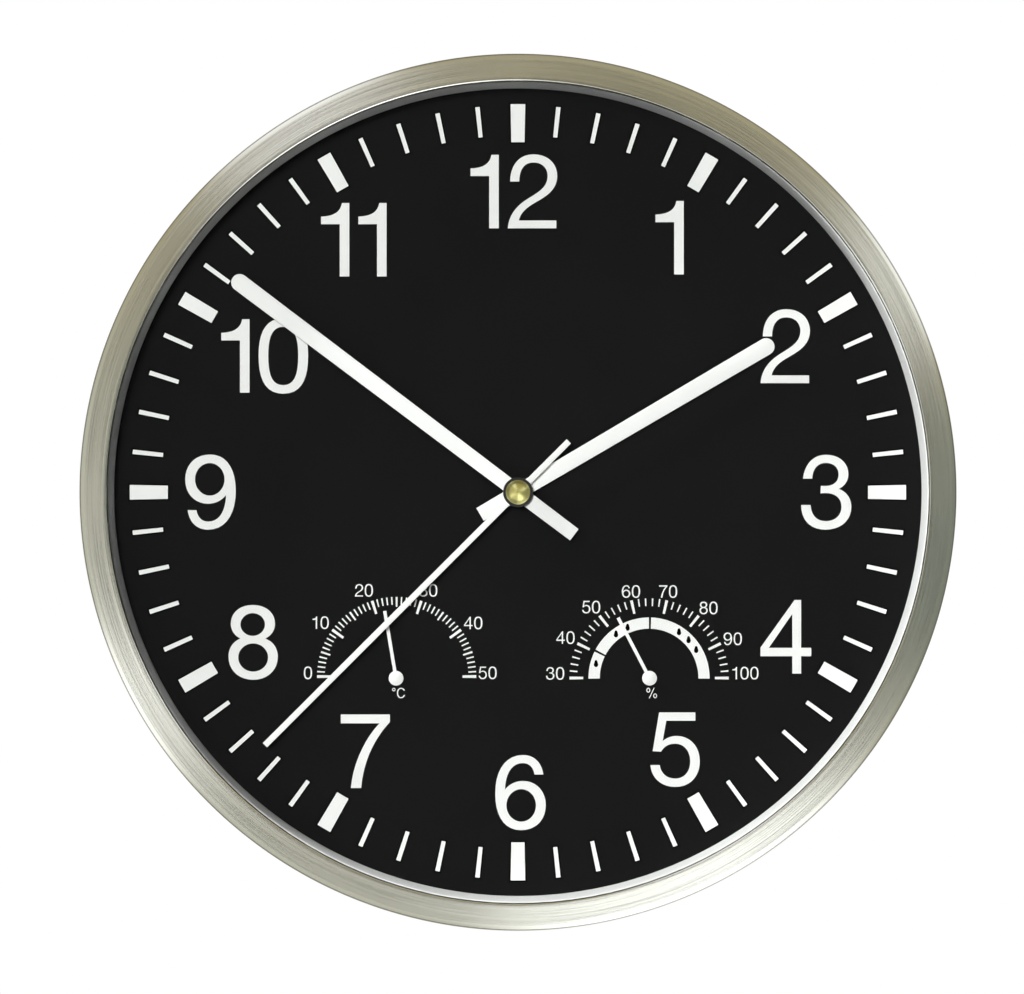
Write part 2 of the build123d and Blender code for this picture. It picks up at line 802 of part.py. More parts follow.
with BuildPart() as coil_core:
    with BuildSketch(facing(stator_front, (rotor_axis[0], coil_level))):
        Rectangle(2 * core_half, core_width)
    extrude(amount=core_thickness)

with BuildPart() as drive_coil:
    with BuildSketch(Plane.YZ.offset(rotor_axis[0] - coil_half_length)):
        with Locations((-coil_depth, coil_level)):
            RectangleRounded(2 * coil_half_size, 2 * coil_half_size, coil_half_size * coil_round_share)
    extrude(amount=2 * coil_half_length)
    for start in (-coil_half_length - coil_cheek, coil_half_length):
        with BuildSketch(Plane.YZ.offset(rotor_axis[0] + start)):
            with Locations((-coil_depth, coil_level)):
                RectangleRounded(2 * cheek_half, 2 * cheek_half, coil_cheek_over)
        extrude(amount=coil_cheek)
    with BuildSketch(Plane.YZ.offset(rotor_axis[0] - coil_half_length - coil_cheek)):
        with Locations((-coil_depth, coil_level)):
            Rectangle(core_thickness + 2 * press_gap, core_width + 2 * press_gap)
    extrude(amount=2 * (coil_half_length + coil_cheek), mode=Mode.SUBTRACT)

# Wheels of the running train
with BuildPart() as intermediate_wheel:
    with BuildSketch(facing(step_wheel_rear, step_axis)):
        GearOutline(rotor_module, step_wheel_teeth, wheel_tooth_share, step_wheel_phase)
    extrude(amount=wheel_thickness)
    with BuildSketch(facing(step_wheel_front, step_axis)):
        GearOutline(train_module, step_pinion_teeth, pinion_tooth_share, step_pinion_phase)
    extrude(amount=second_wheel_front + pinion_over - step_wheel_front)
    with BuildSketch(facing(bearing_floor + slip_gap, step_axis)):
        Circle(arbor_radius)
    extrude(amount=second_wheel_front + pinion_over + layer_gap + bearing_depth - bearing_floor - slip_gap)

with BuildPart() as second_wheel:
    with BuildSketch(facing(second_wheel_rear)):
        GearOutline(train_module, second_wheel_teeth, wheel_tooth_share, second_wheel_phase)
    extrude(amount=wheel_thickness)
    with BuildSketch(facing(second_wheel_front)):
        GearOutline(train_module, second_pinion_teeth, pinion_tooth_share, second_pinion_phase)
    extrude(amount=third_wheel_front + pinion_over - second_wheel_front)
    with BuildSketch(facing(bearing_floor + slip_gap)):
        Circle(second_shaft)
    extrude(amount=second_shaft_front - bearing_floor - slip_gap)

with BuildPart() as third_wheel:
    with BuildSketch(facing(third_wheel_rear, third_axis)):
        GearOutline(train_module, third_wheel_teeth, wheel_tooth_share, third_wheel_phase)
    extrude(amount=wheel_thickness)
    with BuildSketch(facing(third_wheel_front, third_axis)):
        GearOutline(centre_module, third_pinion_teeth, pinion_tooth_share, third_pinion_phase)
    extrude(amount=centre_wheel_front + pinion_over - third_wheel_front)
    with BuildSketch(facing(bearing_floor + slip_gap, third_axis)):
        Circle(arbor_radius)
    extrude(
        amount=centre_wheel_front + pinion_over + axial_gap + bearing_depth - bearing_floor - slip_gap
    )

with BuildPart() as centre_wheel:
    with BuildSketch(facing(centre_wheel_rear)):
        GearOutline(centre_module, centre_wheel_teeth, wheel_tooth_share, centre_wheel_phase)
        Circle(minute_shaft + running_gap, mode=Mode.SUBTRACT)
    extrude(amount=wheel_thickness)

# Minute arbor with its cannon pinion, and the clutch washer that drives it
with BuildPart() as minute_arbor:
    with BuildSketch(facing(minute_rear)):
        Circle(minute_flange_radius)
    extrude(amount=minute_flange)
    with BuildSketch(facing(minute_rear)):
        Circle(minute_shaft)
    extrude(amount=minute_shaft_front - minute_rear)
    with BuildSketch(facing(cannon_rear)):
        GearOutline(motion_module, cannon_teeth, pinion_tooth_share, cannon_phase)
    extrude(amount=cannon_front - cannon_rear)
    with BuildSketch(facing(minute_rear)):
        Circle(minute_bore)
    extrude(amount=minute_shaft_front - minute_rear, mode=Mode.SUBTRACT)

with BuildPart() as clutch_washer:
    with BuildSketch(facing(clutch_rear)):
        Circle(clutch_radius)
        Circle(minute_shaft + press_gap, mode=Mode.SUBTRACT)
    extrude(amount=clutch_thickness)
    chamfer(
        clutch_washer.edges().group_by(Axis.Y)[0].sort_by(SortBy.RADIUS)[-1],
        clutch_thickness * clutch_bevel_share,
    )

# Motion work between the minute arbor and the hour pipe
motion_bore = arbor_radius + axial_gap + running_gap
with BuildPart() as motion_wheel:
    with BuildSketch(facing(motion_wheel_rear, motion_axis)):
        GearOutline(motion_module, motion_wheel_teeth, wheel_tooth_share, motion_wheel_phase)
    extrude(amount=wheel_thickness)
    with BuildSketch(facing(motion_wheel_front, motion_axis)):
        GearOutline(hour_module, motion_pinion_teeth, pinion_tooth_share, motion_pinion_phase)
    extrude(amount=hour_wheel_front + axial_gap - motion_wheel_front)
    with BuildSketch(facing(motion_wheel_rear, motion_axis)):
        Circle(motion_bore)
    extrude(amount=hour_wheel_front + axial_gap - motion_wheel_rear, mode=Mode.SUBTRACT)

with BuildPart() as hour_wheel:
    with BuildSketch(facing(hour_wheel_rear)):
        GearOutline(hour_module, hour_wheel_teeth, wheel_tooth_share, hour_wheel_phase)
    extrude(amount=hour_wheel_thickness)
    with BuildSketch(facing(hour_wheel_rear)):
        Circle(hour_pipe)
    extrude(amount=hour_pipe_front - hour_wheel_rear)
    with BuildSketch(facing(hour_wheel_rear)):
        Circle(hour_bore)
    extrude(amount=hour_pipe_front - hour_wheel_rear, mode=Mode.SUBTRACT)

# Setting knob: ribbed knob outside the cover, shaft and pinion inside
with BuildPart() as setting_knob:
    with BuildSketch(facing(knob_rear, setting_axis)):
        Circle(knob_radius)
        with PolarLocations(knob_radius, knob_grooves):
            Circle(knob_groove_depth, mode=Mode.SUBTRACT)
    extrude(amount=knob_height)
    with BuildSketch(facing(knob_front, setting_axis)):
        Circle(knob_shaft)
    extrude(amount=cannon_rear - knob_front)
    with BuildSketch(facing(cannon_rear, setting_axis)):
        GearOutline(motion_module, setting_pinion_teeth, pinion_tooth_share, setting_phase)
    extrude(amount=cannon_front - cannon_rear)
    with BuildSketch(facing(cannon_front, setting_axis)):
        Circle(arbor_radius + axial_gap)
    extrude(amount=axial_gap + bearing_depth)

# Electronics
with BuildPart() as circuit_board:
    with BuildSketch(facing(board_rear)):
        with Locations(((board_left + board_right) / 2, (board_bottom + board_top) / 2)):
            Rectangle(board_right - board_left, board_top - board_bottom)
    extrude(amount=board_thickness)

chip_spot = (board_left + (board_right - board_left) * chip_place, (board_bottom + board_top) / 2)
with BuildPart() as chip:
    with BuildSketch(facing(board_rear, chip_spot)):
        Circle(chip_radius)
    extrude(amount=-chip_height)
    fillet(chip.edges().group_by(Axis.Y)[-1], chip_height * chip_round_share)

crystal_spot = (board_left + (board_right - board_left) * crystal_place, (board_bottom + board_top) / 2)
with BuildPart() as quartz_crystal:
    with BuildSketch(Plane.XY.offset(crystal_spot[1] - crystal_length / 2)):
        with Locations((crystal_spot[0], -(board_rear - crystal_radius - press_gap))):
            Circle(crystal_radius)
    extrude(amount=crystal_length)

# Battery and its contacts
battery_left = -bay_half + contact_thickness + spring_lift + axial_gap
with BuildPart() as battery:
    with BuildSketch(Plane.YZ.offset(battery_left)):
        with Locations((-battery_depth, battery_level)):
            Circle(battery_radius)
    extrude(amount=battery_length)
    fillet(battery.edges().filter_by(GeomType.CIRCLE), edge_round)
    with BuildSketch(Plane.YZ.offset(battery_left + battery_length)):
        with Locations((-battery_depth, battery_level)):
            Circle(nub_radius)
    extrude(amount=nub_length)

contact_left = -bay_half
contact_right = bay_half - contact_thickness
contact_bottom = bay_bottom + axial_gap
with BuildPart() as contact_positive:
    with BuildSketch(facing(battery_depth - contact_half_width)):
        with Locations((contact_right + contact_thickness / 2, (contact_bottom + bay_top - slip_gap) / 2)):
            Rectangle(contact_thickness, bay_top - slip_gap - contact_bottom)
    extrude(amount=2 * contact_half_width)
    with BuildSketch(facing(strip_rear)):
        with BuildLine():
            Polyline(
                (contact_right, contact_bottom),
                (bay_half, contact_bottom),
                (bay_half, chamber_top),
                (board_right - contact_foot, chamber_top),
                (board_right - contact_foot, chamber_top - contact_thickness),
                (contact_right, chamber_top - contact_thickness),
                close=True,
            )
        make_face()
    extrude(amount=contact_strip)
    with BuildSketch(facing(board_rear - contact_thickness)):
        with Locations((board_right - contact_foot / 2, chamber_top - contact_foot / 2)):
            Rectangle(contact_foot, contact_foot)
    extrude(amount=contact_thickness)

with BuildPart() as contact_negative:
    with BuildSketch(facing(battery_depth - contact_half_width)):
        with Locations((contact_left + contact_thickness / 2, (contact_bottom + bay_top - slip_gap) / 2)):
            Rectangle(contact_thickness, bay_top - slip_gap - contact_bottom)
    extrude(amount=2 * contact_half_width)
    with BuildSketch(facing(battery_depth - contact_half_width / 2)):
        with BuildLine():
            spring_foot = contact_left + contact_thickness
            foot_half = battery_radius * spring_foot_share
            top_half = battery_radius * spring_top_share
            Polyline(
                (spring_foot, battery_level - foot_half),
                (spring_foot + spring_lift, battery_level - top_half),
                (spring_foot + spring_lift, battery_level + top_half),
                (spring_foot, battery_level + foot_half),
                (spring_foot, battery_level + foot_half - 2 * contact_thickness),
                (spring_foot + spring_lift - contact_thickness, battery_level),
                (spring_foot, battery_level - foot_half + 2 * contact_thickness),
                close=True,
            )
        make_face()
    extrude(amount=contact_half_width)
    with BuildSketch(facing(strip_rear)):
        with Locations((contact_left + contact_thickness / 2, (contact_bottom + board_top) / 2)):
            Rectangle(contact_thickness, board_top - contact_bottom)
    extrude(amount=contact_strip)
    with BuildSketch(facing(board_rear - contact_thickness)):
        foot_reach = board_margin + contact_foot
        with Locations((contact_left + foot_reach / 2, board_top - contact_foot)):
            Rectangle(foot_reach, contact_foot)
    extrude(amount=contact_thickness)

# Hands, turned clockwise from twelve to their angles at rest
with BuildPart() as hour_hand:
    with BuildSketch(facing(hour_hand_rear, turn=-hour_angle)):
        HandOutline(
            hour_reach, hour_tail, hour_tail_width, hour_tip_width, hour_hub, hour_pipe + press_gap
        )
    extrude(amount=hand_thickness)

with BuildPart() as minute_hand:
    with BuildSketch(facing(minute_hand_rear, turn=-minute_angle)):
        HandOutline(
            minute_reach,
            minute_tail,
            minute_tail_width,
            minute_tip_width,
            minute_hub,
            minute_shaft + press_gap,
        )
    extrude(amount=hand_thickness)

with BuildPart() as second_hand:
    with BuildSketch(facing(second_hand_rear, turn=-second_angle)):
        with Locations((0, (second_reach - second_tail) / 2)):
            Rectangle(second_width, second_reach + second_tail)
        Circle(second_hub)
        Circle(collar_socket + press_gap, mode=Mode.SUBTRACT)
    extrude(amount=second_thickness)

# Collar with a socket for the second shaft, and the domed cap on it
with BuildPart() as second_collar:
    with BuildSketch(facing(second_hand_front)):
        Circle(collar_radius)
    extrude(amount=collar_height)
    chamfer(second_collar.edges().group_by(Axis.Y)[0], collar_height * collar_bevel_share)
    with BuildSketch(facing(second_hand_rear - shaft_over)):
        Circle(collar_socket)
    extrude(amount=second_thickness + shaft_over)
    with BuildSketch(facing(second_hand_rear - shaft_over)):
        Circle(second_shaft + press_gap)
    extrude(amount=second_shaft_front + press_gap - second_hand_rear + shaft_over, mode=Mode.SUBTRACT)

cap_front = collar_front + cap_height
dome_radius = (cap_radius**2 + cap_height**2) / (2 * cap_height)
dome_sweep = degrees(atan2(cap_radius, dome_radius - cap_height))
with BuildPart() as second_cap:
    with BuildSketch(Plane.XY):
        with BuildLine():
            Line((0, -collar_front), (cap_radius, -collar_front))
            CenterArc((0, dome_radius - cap_front), dome_radius, -90, dome_sweep)
            Line((0, -cap_front), (0, -collar_front))
        make_face()
    revolve(axis=Axis.Y)

# Gauges: a cup behind the back plate, a spiral coil on a shaft and a pointer before the dial
cup_rear = web_rear - cup_depth
cup_floor = cup_rear + cup_wall
spiral_rear = (cup_floor + web_rear - spiral_width) / 2
shaft_rear = cup_rear + cup_wall / 2
pointer_rear = dial_front + pointer_lift
pointer_front = pointer_rear + pointer_thickness
collet_radius = gauge_shaft + running_gap + 2 * spiral_strip
spiral_end = 360.0 * spiral_turns


def gauge_cup(axis):
    """Cup with vents, a shaft bearing, a post for the outer end of the spiral and two ears."""
    with BuildPart() as cup:
        with BuildSketch(facing(cup_rear, axis)):
            Circle(cup_radius)
        extrude(amount=cup_depth)
        with BuildSketch(facing(cup_floor, axis)):
            Circle(cup_radius - cup_wall)
        extrude(amount=cup_depth - cup_wall, mode=Mode.SUBTRACT)
        with BuildSketch(facing(cup_rear, axis)):
            with PolarLocations(cup_radius * vent_circle_share, vent_count, 180.0 / vent_count):
                SlotOverall(vent_length, vent_width)
        extrude(amount=cup_wall, mode=Mode.SUBTRACT)
        with BuildSketch(facing(cup_floor, axis)):
            Circle(collet_radius)
            with Locations(polar(spiral_outer + spiral_strip / 2 + post_radius + press_gap, spiral_end)):
                Circle(post_radius)
        extrude(amount=spiral_rear - cup_floor - slip_gap)
        with BuildSketch(facing(spiral_rear - slip_gap, axis)):
            with Locations(polar(spiral_outer + spiral_strip / 2 + post_radius + press_gap, spiral_end)):
                Circle(post_radius)
        extrude(amount=spiral_width + slip_gap)
        with BuildSketch(facing(shaft_rear, axis)):
            Circle(gauge_shaft + running_gap)
        extrude(amount=cup_depth, mode=Mode.SUBTRACT)
        with BuildSketch(facing(web_rear - cup_ear, axis)):
            SlotOverall(2 * cup_ear_reach, cup_ear_width)
            Circle(cup_radius - cup_wall, mode=Mode.SUBTRACT)
            with Locations((-gauge_screw_circle, 0), (gauge_screw_circle, 0)):
                Circle(small_screw_radius + screw_play, mode=Mode.SUBTRACT)
        extrude(amount=cup_ear)
    return cup.part


def gauge_coil(axis):
    """Spiral strip that holds the shaft at its inner end and the post at its outer end."""
    with BuildPart() as coil:
        with BuildSketch(facing(spiral_rear, axis)):
            SpiralStrip(
                spiral_inner,
                spiral_outer,
                spiral_turns,
                spiral_strip,
                gauge_shaft + running_gap,
                collet_radius,
            )
        extrude(amount=spiral_width)
    return coil.part


def gauge_arbor(axis):
    """Shaft from the cup's bearing to the front of the pointer."""
    with BuildPart() as arbor:
        with BuildSketch(facing(shaft_rear + slip_gap, axis)):
            Circle(gauge_shaft)
        extrude(amount=pointer_front - shaft_rear - slip_gap)
    return arbor.part


def gauge_pointer(axis, angle):
    """Pointer with its hub, turned to its reading at rest."""
    with BuildPart() as pointer:
        with BuildSketch(facing(pointer_rear, axis, angle)):
            PointerOutline(pointer_reach, pointer_width, pointer_hub, gauge_shaft + press_gap)
        extrude(amount=pointer_thickness)
    return pointer.part


with BuildPart(facing(web_rear - cup_ear)) as gauge_screws:
    with Locations(*gauge_screw_points):
        CrossScrew(
            small_screw_radius,
            cup_ear + web_thickness - 2 * pilot_floor,
            small_screw_head_radius,
            small_screw_head,
        )

# One file for every named piece
pieces = {
    "bezel": bezel.part,
    "rim_tabs": rim_tabs.part,
    "lens_gasket": lens_gasket.part,
    "lens": lens.part,
    "spacer_ring": spacer_ring.part,
    "dial": dial.part,
    "back_plate": back_plate.part,
    "rim_screws": rim_screws.part,
    "hanger_plate": hanger_plate.part,
    "hanger_screws": hanger_screws.part,
    "movement_case": movement_case.part,
    "movement_cover": movement_cover.part,
    "mounting_bush": mounting_bush.part,
    "bush_washer": bush_washer.part,
    "bush_nut": bush_nut.part,
    "rotor": rotor.part,
    "rotor_magnet": rotor_magnet.part,
    "stator": stator.part,
    "coil_core": coil_core.part,
    "drive_coil": drive_coil.part,
    "intermediate_wheel": intermediate_wheel.part,
    "second_wheel": second_wheel.part,
    "third_wheel": third_wheel.part,
    "centre_wheel": centre_wheel.part,
    "minute_arbor": minute_arbor.part,
    "clutch_washer": clutch_washer.part,
    "motion_wheel": motion_wheel.part,
    "hour_wheel": hour_wheel.part,
    "setting_knob": setting_knob.part,
    "circuit_board": circuit_board.part,
    "chip": chip.part,
    "quartz_crystal": quartz_crystal.part,
    "battery": battery.part,
    "contact_positive": contact_positive.part,
    "contact_negative": contact_negative.part,
    "hour_hand": hour_hand.part,
    "minute_hand": minute_hand.part,
    "second_hand": second_hand.part,
    "second_collar": second_collar.part,
    "second_cap": second_cap.part,
    "thermo_cup": gauge_cup(thermo_axis),
    "thermo_coil": gauge_coil(thermo_axis),
    "thermo_arbor": gauge_arbor(thermo_axis),
    "thermo_pointer": gauge_pointer(thermo_axis, thermo_angle),
    "hygro_cup": gauge_cup(hygro_axis),
    "hygro_coil": gauge_coil(hygro_axis),
    "hygro_arbor": gauge_arbor(hygro_axis),
    "hygro_pointer": gauge_pointer(hygro_axis, hygro_angle),
    "gauge_screws": gauge_screws.part,
}
os.makedirs("parts", exist_ok=True)
for name, part in pieces.items():
    part.label = name
    export_step(part, f"parts/{name}.step")
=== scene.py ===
"""Looks of a round wall clock with a thermometer and a hygrometer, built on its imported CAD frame.

All sizes are in metres. X points right, Z points up and the wall is at y = 0. A depth is the distance from
the wall towards the viewer, so a point at depth d has y = -d.
"""

import logging
import math
import re
from dataclasses import dataclass
from enum import Enum

import bpy
import numpy as np
from mathutils import Matrix, Vector
from mathutils.geometry import tessellate_polygon


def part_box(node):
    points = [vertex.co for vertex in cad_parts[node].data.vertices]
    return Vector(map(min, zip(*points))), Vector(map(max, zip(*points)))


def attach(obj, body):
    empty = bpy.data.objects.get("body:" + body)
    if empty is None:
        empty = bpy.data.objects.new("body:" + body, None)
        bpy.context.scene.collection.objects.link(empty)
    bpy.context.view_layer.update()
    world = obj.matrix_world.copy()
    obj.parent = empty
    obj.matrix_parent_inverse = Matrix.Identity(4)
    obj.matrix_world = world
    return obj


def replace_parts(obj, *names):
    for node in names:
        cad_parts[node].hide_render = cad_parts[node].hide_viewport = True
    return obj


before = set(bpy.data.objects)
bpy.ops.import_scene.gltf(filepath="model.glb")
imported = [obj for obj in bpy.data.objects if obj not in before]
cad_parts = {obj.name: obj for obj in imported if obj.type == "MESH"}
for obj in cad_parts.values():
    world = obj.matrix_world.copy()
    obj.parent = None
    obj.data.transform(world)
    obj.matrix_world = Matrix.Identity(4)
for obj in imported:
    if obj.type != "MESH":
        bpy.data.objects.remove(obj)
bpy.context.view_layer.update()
MM = 0.001
Colour = tuple[float, float, float]
log = logging.getLogger("wall_clock")


class Tone:
    """A shader value: it wraps an output socket, and arithmetic on it adds Math nodes."""

    def __init__(self, bench: "Bench", socket: bpy.types.NodeSocket) -> None:
        """Keeps the bench that adds nodes and the wrapped socket."""
        self.bench = bench
        self.socket = socket

    def maths(self, operation: str, first: "Tone | float", second: "Tone | float" = 0.0) -> "Tone":
        """Adds one Math node with this operation on the two values."""
        return self.bench.node("ShaderNodeMath", {"operation": operation}, {0: first, 1: second})

    def __add__(self, other: "Tone | float") -> "Tone":
        """Sum."""
        return self.maths("ADD", self, other)

    def __radd__(self, other: float) -> "Tone":
        """Sum with a number in front."""
        return self.maths("ADD", other, self)

    def __sub__(self, other: "Tone | float") -> "Tone":
        """Difference."""
        return self.maths("SUBTRACT", self, other)

    def __rsub__(self, other: float) -> "Tone":
        """Difference from a number in front."""
        return self.maths("SUBTRACT", other, self)

    def __mul__(self, other: "Tone | float") -> "Tone":
        """Product."""
        return self.maths("MULTIPLY", self, other)

    def __rmul__(self, other: float) -> "Tone":
        """Product with a number in front."""
        return self.maths("MULTIPLY", other, self)

    def __truediv__(self, other: "Tone | float") -> "Tone":
        """Quotient."""
        return self.maths("DIVIDE", self, other)

    def __rtruediv__(self, other: float) -> "Tone":
        """Quotient with a number in front."""
        return self.maths("DIVIDE", other, self)

    def __pow__(self, other: "Tone | float") -> "Tone":
        """Power."""
        return self.maths("POWER", self, other)

    def sine(self) -> "Tone":
        """Sine of the value in radians."""
        return self.maths("SINE", self)

    def limit(self) -> "Tone":
        """The value held between 0 and 1."""
        return self.maths("MINIMUM", self.maths("MAXIMUM", self, 0.0), 1.0)


class Bench:
    """Node tree of one material or world, with one method that adds any node."""

    def __init__(self, tree: bpy.types.NodeTree) -> None:
        """Takes over an empty tree."""
        self.tree = tree
        tree.nodes.clear()

    def node(self, kind: str, settings: dict | None = None, sockets: dict | None = None,
             output: int | str = 0) -> Tone:
        """Adds a node.

        Args:
            kind: type of the node.
            settings: properties, set first; the key "stops" holds a stepped ramp's (place, colour) pairs.
            sockets: values, or tones to link, by socket name or number.
            output: the output that is handed back.

        Returns:
            The chosen output as a tone.
        """
        made = self.tree.nodes.new(kind)
        for name, value in (settings or {}).items():
            if name == "stops":
                made.color_ramp.interpolation = "CONSTANT"
                bar = made.color_ramp.elements
                while len(bar) < len(value):
                    bar.new(1.0)
                for stop, (place, colour) in zip(bar, value):
                    stop.position, stop.color = place, (*colour, 1.0)
            else:
                setattr(made, name, value)
        for key, value in (sockets or {}).items():
            if isinstance(value, Tone):
                self.tree.links.new(value.socket, made.inputs[key])
            else:
                made.inputs[key].default_value = value
        return Tone(self, made.outputs[output] if made.outputs else None)

    def place(self) -> Tone:
        """Place on the piece, in metres."""
        return self.node("ShaderNodeTexCoord", output="Object")

    def apart(self, vector: Tone) -> tuple[Tone, Tone, Tone]:
        """The three parts of a vector."""
        split = self.node("ShaderNodeSeparateXYZ", sockets={0: vector}).socket.node
        return tuple(Tone(self, socket) for socket in split.outputs)

    def vector(self, x: Tone | float, y: Tone | float, z: Tone | float) -> Tone:
        """A vector from three parts."""
        return self.node("ShaderNodeCombineXYZ", sockets={0: x, 1: y, 2: z})

    def vectors(self, operation: str, first: Tone, second: Tone | tuple = (0.0, 0.0, 0.0)) -> Tone:
        """Vector Math on two vectors."""
        return self.node("ShaderNodeVectorMath", {"operation": operation}, {0: first, 1: second})

    def noise(self, where: Tone, size: float, detail: float = 2.0, roughness: float = 0.5) -> Tone:
        """Noise with features of about this size, between 0 and 1."""
        return self.node("ShaderNodeTexNoise", {"noise_dimensions": "3D"},
                         {"Vector": where, "Scale": 1.0 / size, "Detail": detail, "Roughness": roughness})

    def span(self, value: Tone, low: float, high: float, start: float = 0.0, end: float = 1.0) -> Tone:
        """Carries low..high smoothly over to start..end."""
        return self.node("ShaderNodeMapRange", {"interpolation_type": "SMOOTHSTEP"},
                         {0: value, 1: low, 2: high, 3: start, 4: end})

    def tint(self, factor: Tone, first: Colour | Tone, second: Colour | Tone) -> Tone:
        """Mixes two colours."""
        colours = [value if isinstance(value, Tone) else (*value, 1.0) for value in (first, second)]
        return self.node("ShaderNodeMix", {"data_type": "RGBA"}, {0: factor, 6: colours[0], 7: colours[1]}, 2)

    def bump(self, height: Tone, depth: float) -> Tone:
        """Normal of a relief whose height runs over this depth."""
        return self.node("ShaderNodeBump", sockets={"Strength": 1.0, "Distance": depth, "Height": height})

    def principled(self, **sockets: Tone | float | tuple) -> Tone:
        """Principled shader; a lower bar in a name stands for a space."""
        named = {name.replace("_", " "): value for name, value in sockets.items()}
        return self.node("ShaderNodeBsdfPrincipled", sockets=named)


@dataclass(frozen=True)
class Finish:
    """A surface finish, made into a material once."""

    name: str

    def shader(self, bench: Bench) -> Tone:
        """Builds the finish's shader on the bench."""
        raise NotImplementedError

    def material(self) -> bpy.types.Material:
        """Makes the material, or finds the one made before.

        Returns:
            The material.
        """
        known = bpy.data.materials.get(f"look_{self.name}")
        if known:
            return known
        made = bpy.data.materials.new(f"look_{self.name}")
        made.use_nodes = True
        bench = Bench(made.node_tree)
        bench.node("ShaderNodeOutputMaterial", sockets={"Surface": self.shader(bench)})
        return made


@dataclass(frozen=True)
class Grained(Finish):
    """Paint, ink, rubber or moulded plastic: a fine grain in relief and slow clouds in colour and gloss."""

    colour: Colour
    cloud: Colour
    roughness: float = 0.5
    swing: float = 0.12
    grain: float = 0.4 * MM
    relief: float = 0.006 * MM
    patch: float = 18.0 * MM
    shine: float = 0.5
    coarse_size: float = 5.0
    coarse_height: float = 1.6

    def shader(self, bench: Bench) -> Tone:
        """Clouds shift the colour and the gloss; two sizes of grain add up to the relief.

        Args:
            bench: the tree to build on.

        Returns:
            The shader.
        """
        place = bench.place()
        clouds = bench.noise(place, self.patch, 3.0)
        fine = bench.noise(place, self.grain, 2.0)
        coarse = bench.noise(place, self.grain * self.coarse_size, 2.0)
        return bench.principled(
            Base_Color=bench.tint(bench.span(clouds * 0.7 + fine * 0.3, 0.3, 0.7), self.colour, self.cloud),
            Roughness=(fine - 0.5) * self.swing + (clouds - 0.5) * self.swing + self.roughness,
            Normal=bench.bump(fine + coarse * self.coarse_height, self.relief),
            Specular_IOR_Level=self.shine)


@dataclass(frozen=True)
class SpunMetal(Finish):
    """Sheet metal brushed in circles around the clock's axis, with painted shade where it turns from the
    front.
    """

    colour: Colour
    worn: Colour
    # edge: painted shade, a darker brown for the side of the sheet that turns away from the front
    edge: Colour
    roughness: float
    spread: float
    pitch: float
    runs: float
    band_pitch: float = 12.0
    band_runs: float = 2.0
    gloss_swing: float = 0.03
    edge_from: float = -0.45
    edge_to: float = -0.1

    def shader(self, bench: Bench) -> Tone:
        """Leans the normal across the brush lines.

        The place across the lines is radius plus y, which grows steadily along the rolled profile. Noise that
        is quick in that place and slow along the circle gives each line its lean. Painted shade darkens the
        tone where the sheet turns away from the front.

        Args:
            bench: the tree to build on.

        Returns:
            The shader.
        """
        x, y, z = bench.apart(bench.place())
        radius = (x * x + z * z) ** 0.5
        cosine, sine = x / radius, z / radius
        track = radius + y
        lines = bench.noise(bench.vector(cosine * self.runs, sine * self.runs, track / self.pitch), 1.0, 1.0)
        wide, runs = self.pitch * self.band_pitch, self.band_runs
        bands = bench.noise(bench.vector(cosine * runs, sine * runs, track / wide), 1.0, 3.0)
        normal = bench.node("ShaderNodeNewGeometry", output="Normal")
        around = bench.vector(0.0 - sine, 0.0, cosine)
        across = bench.vectors("CROSS_PRODUCT", around, normal)
        lean = (lines - 0.5) * self.spread
        leaning = bench.vectors("MULTIPLY", across, bench.vector(lean, lean, lean))
        leaned = bench.vectors("NORMALIZE", bench.vectors("ADD", normal, leaning))
        face = bench.tint(bench.span(bands * 0.6 + lines * 0.4, 0.3, 0.7), self.colour, self.worn)
        # Painted shade: the tone goes over to the darker edge colour as the normal turns from the front to
        # the side
        _, forward, _ = bench.apart(normal)
        return bench.principled(
            Base_Color=bench.tint(bench.span(forward, self.edge_from, self.edge_to), face, self.edge),
            Roughness=(bands - 0.5) * self.gloss_swing + self.roughness, Metallic=1.0, Normal=leaned)


@dataclass(frozen=True)
class PlateGlass(Finish):
    """Thin clear pane that mirrors by the angle of sight and carries a faint film."""

    mirror: float = 0.02
    coat: float = 0.4
    film: float = 40.0 * MM
    haze: float = 0.05
    through: Colour = (0.985, 0.99, 0.985)

    def shader(self, bench: Bench) -> Tone:
        """Mixes see-through and gloss; the gloss is mirror + (1 - mirror) times the facing to the fifth.

        Args:
            bench: the tree to build on.

        Returns:
            The shader.
        """
        film = bench.noise(bench.place(), self.film, 3.0)
        facing = bench.node("ShaderNodeLayerWeight", sockets={"Blend": 0.5}, output="Facing")
        clear = bench.node("ShaderNodeBsdfTransparent", sockets={"Color": (*self.through, 1.0)})
        gloss = bench.node("ShaderNodeBsdfAnisotropic", sockets={
            "Color": (self.coat, self.coat, self.coat, 1.0),
            "Roughness": bench.span(film, 0.3, 0.7, 0.0, self.haze)})
        share = facing ** 5.0 * (1.0 - self.mirror) + self.mirror
        return bench.node("ShaderNodeMixShader", sockets={0: share, 1: clear, 2: gloss})


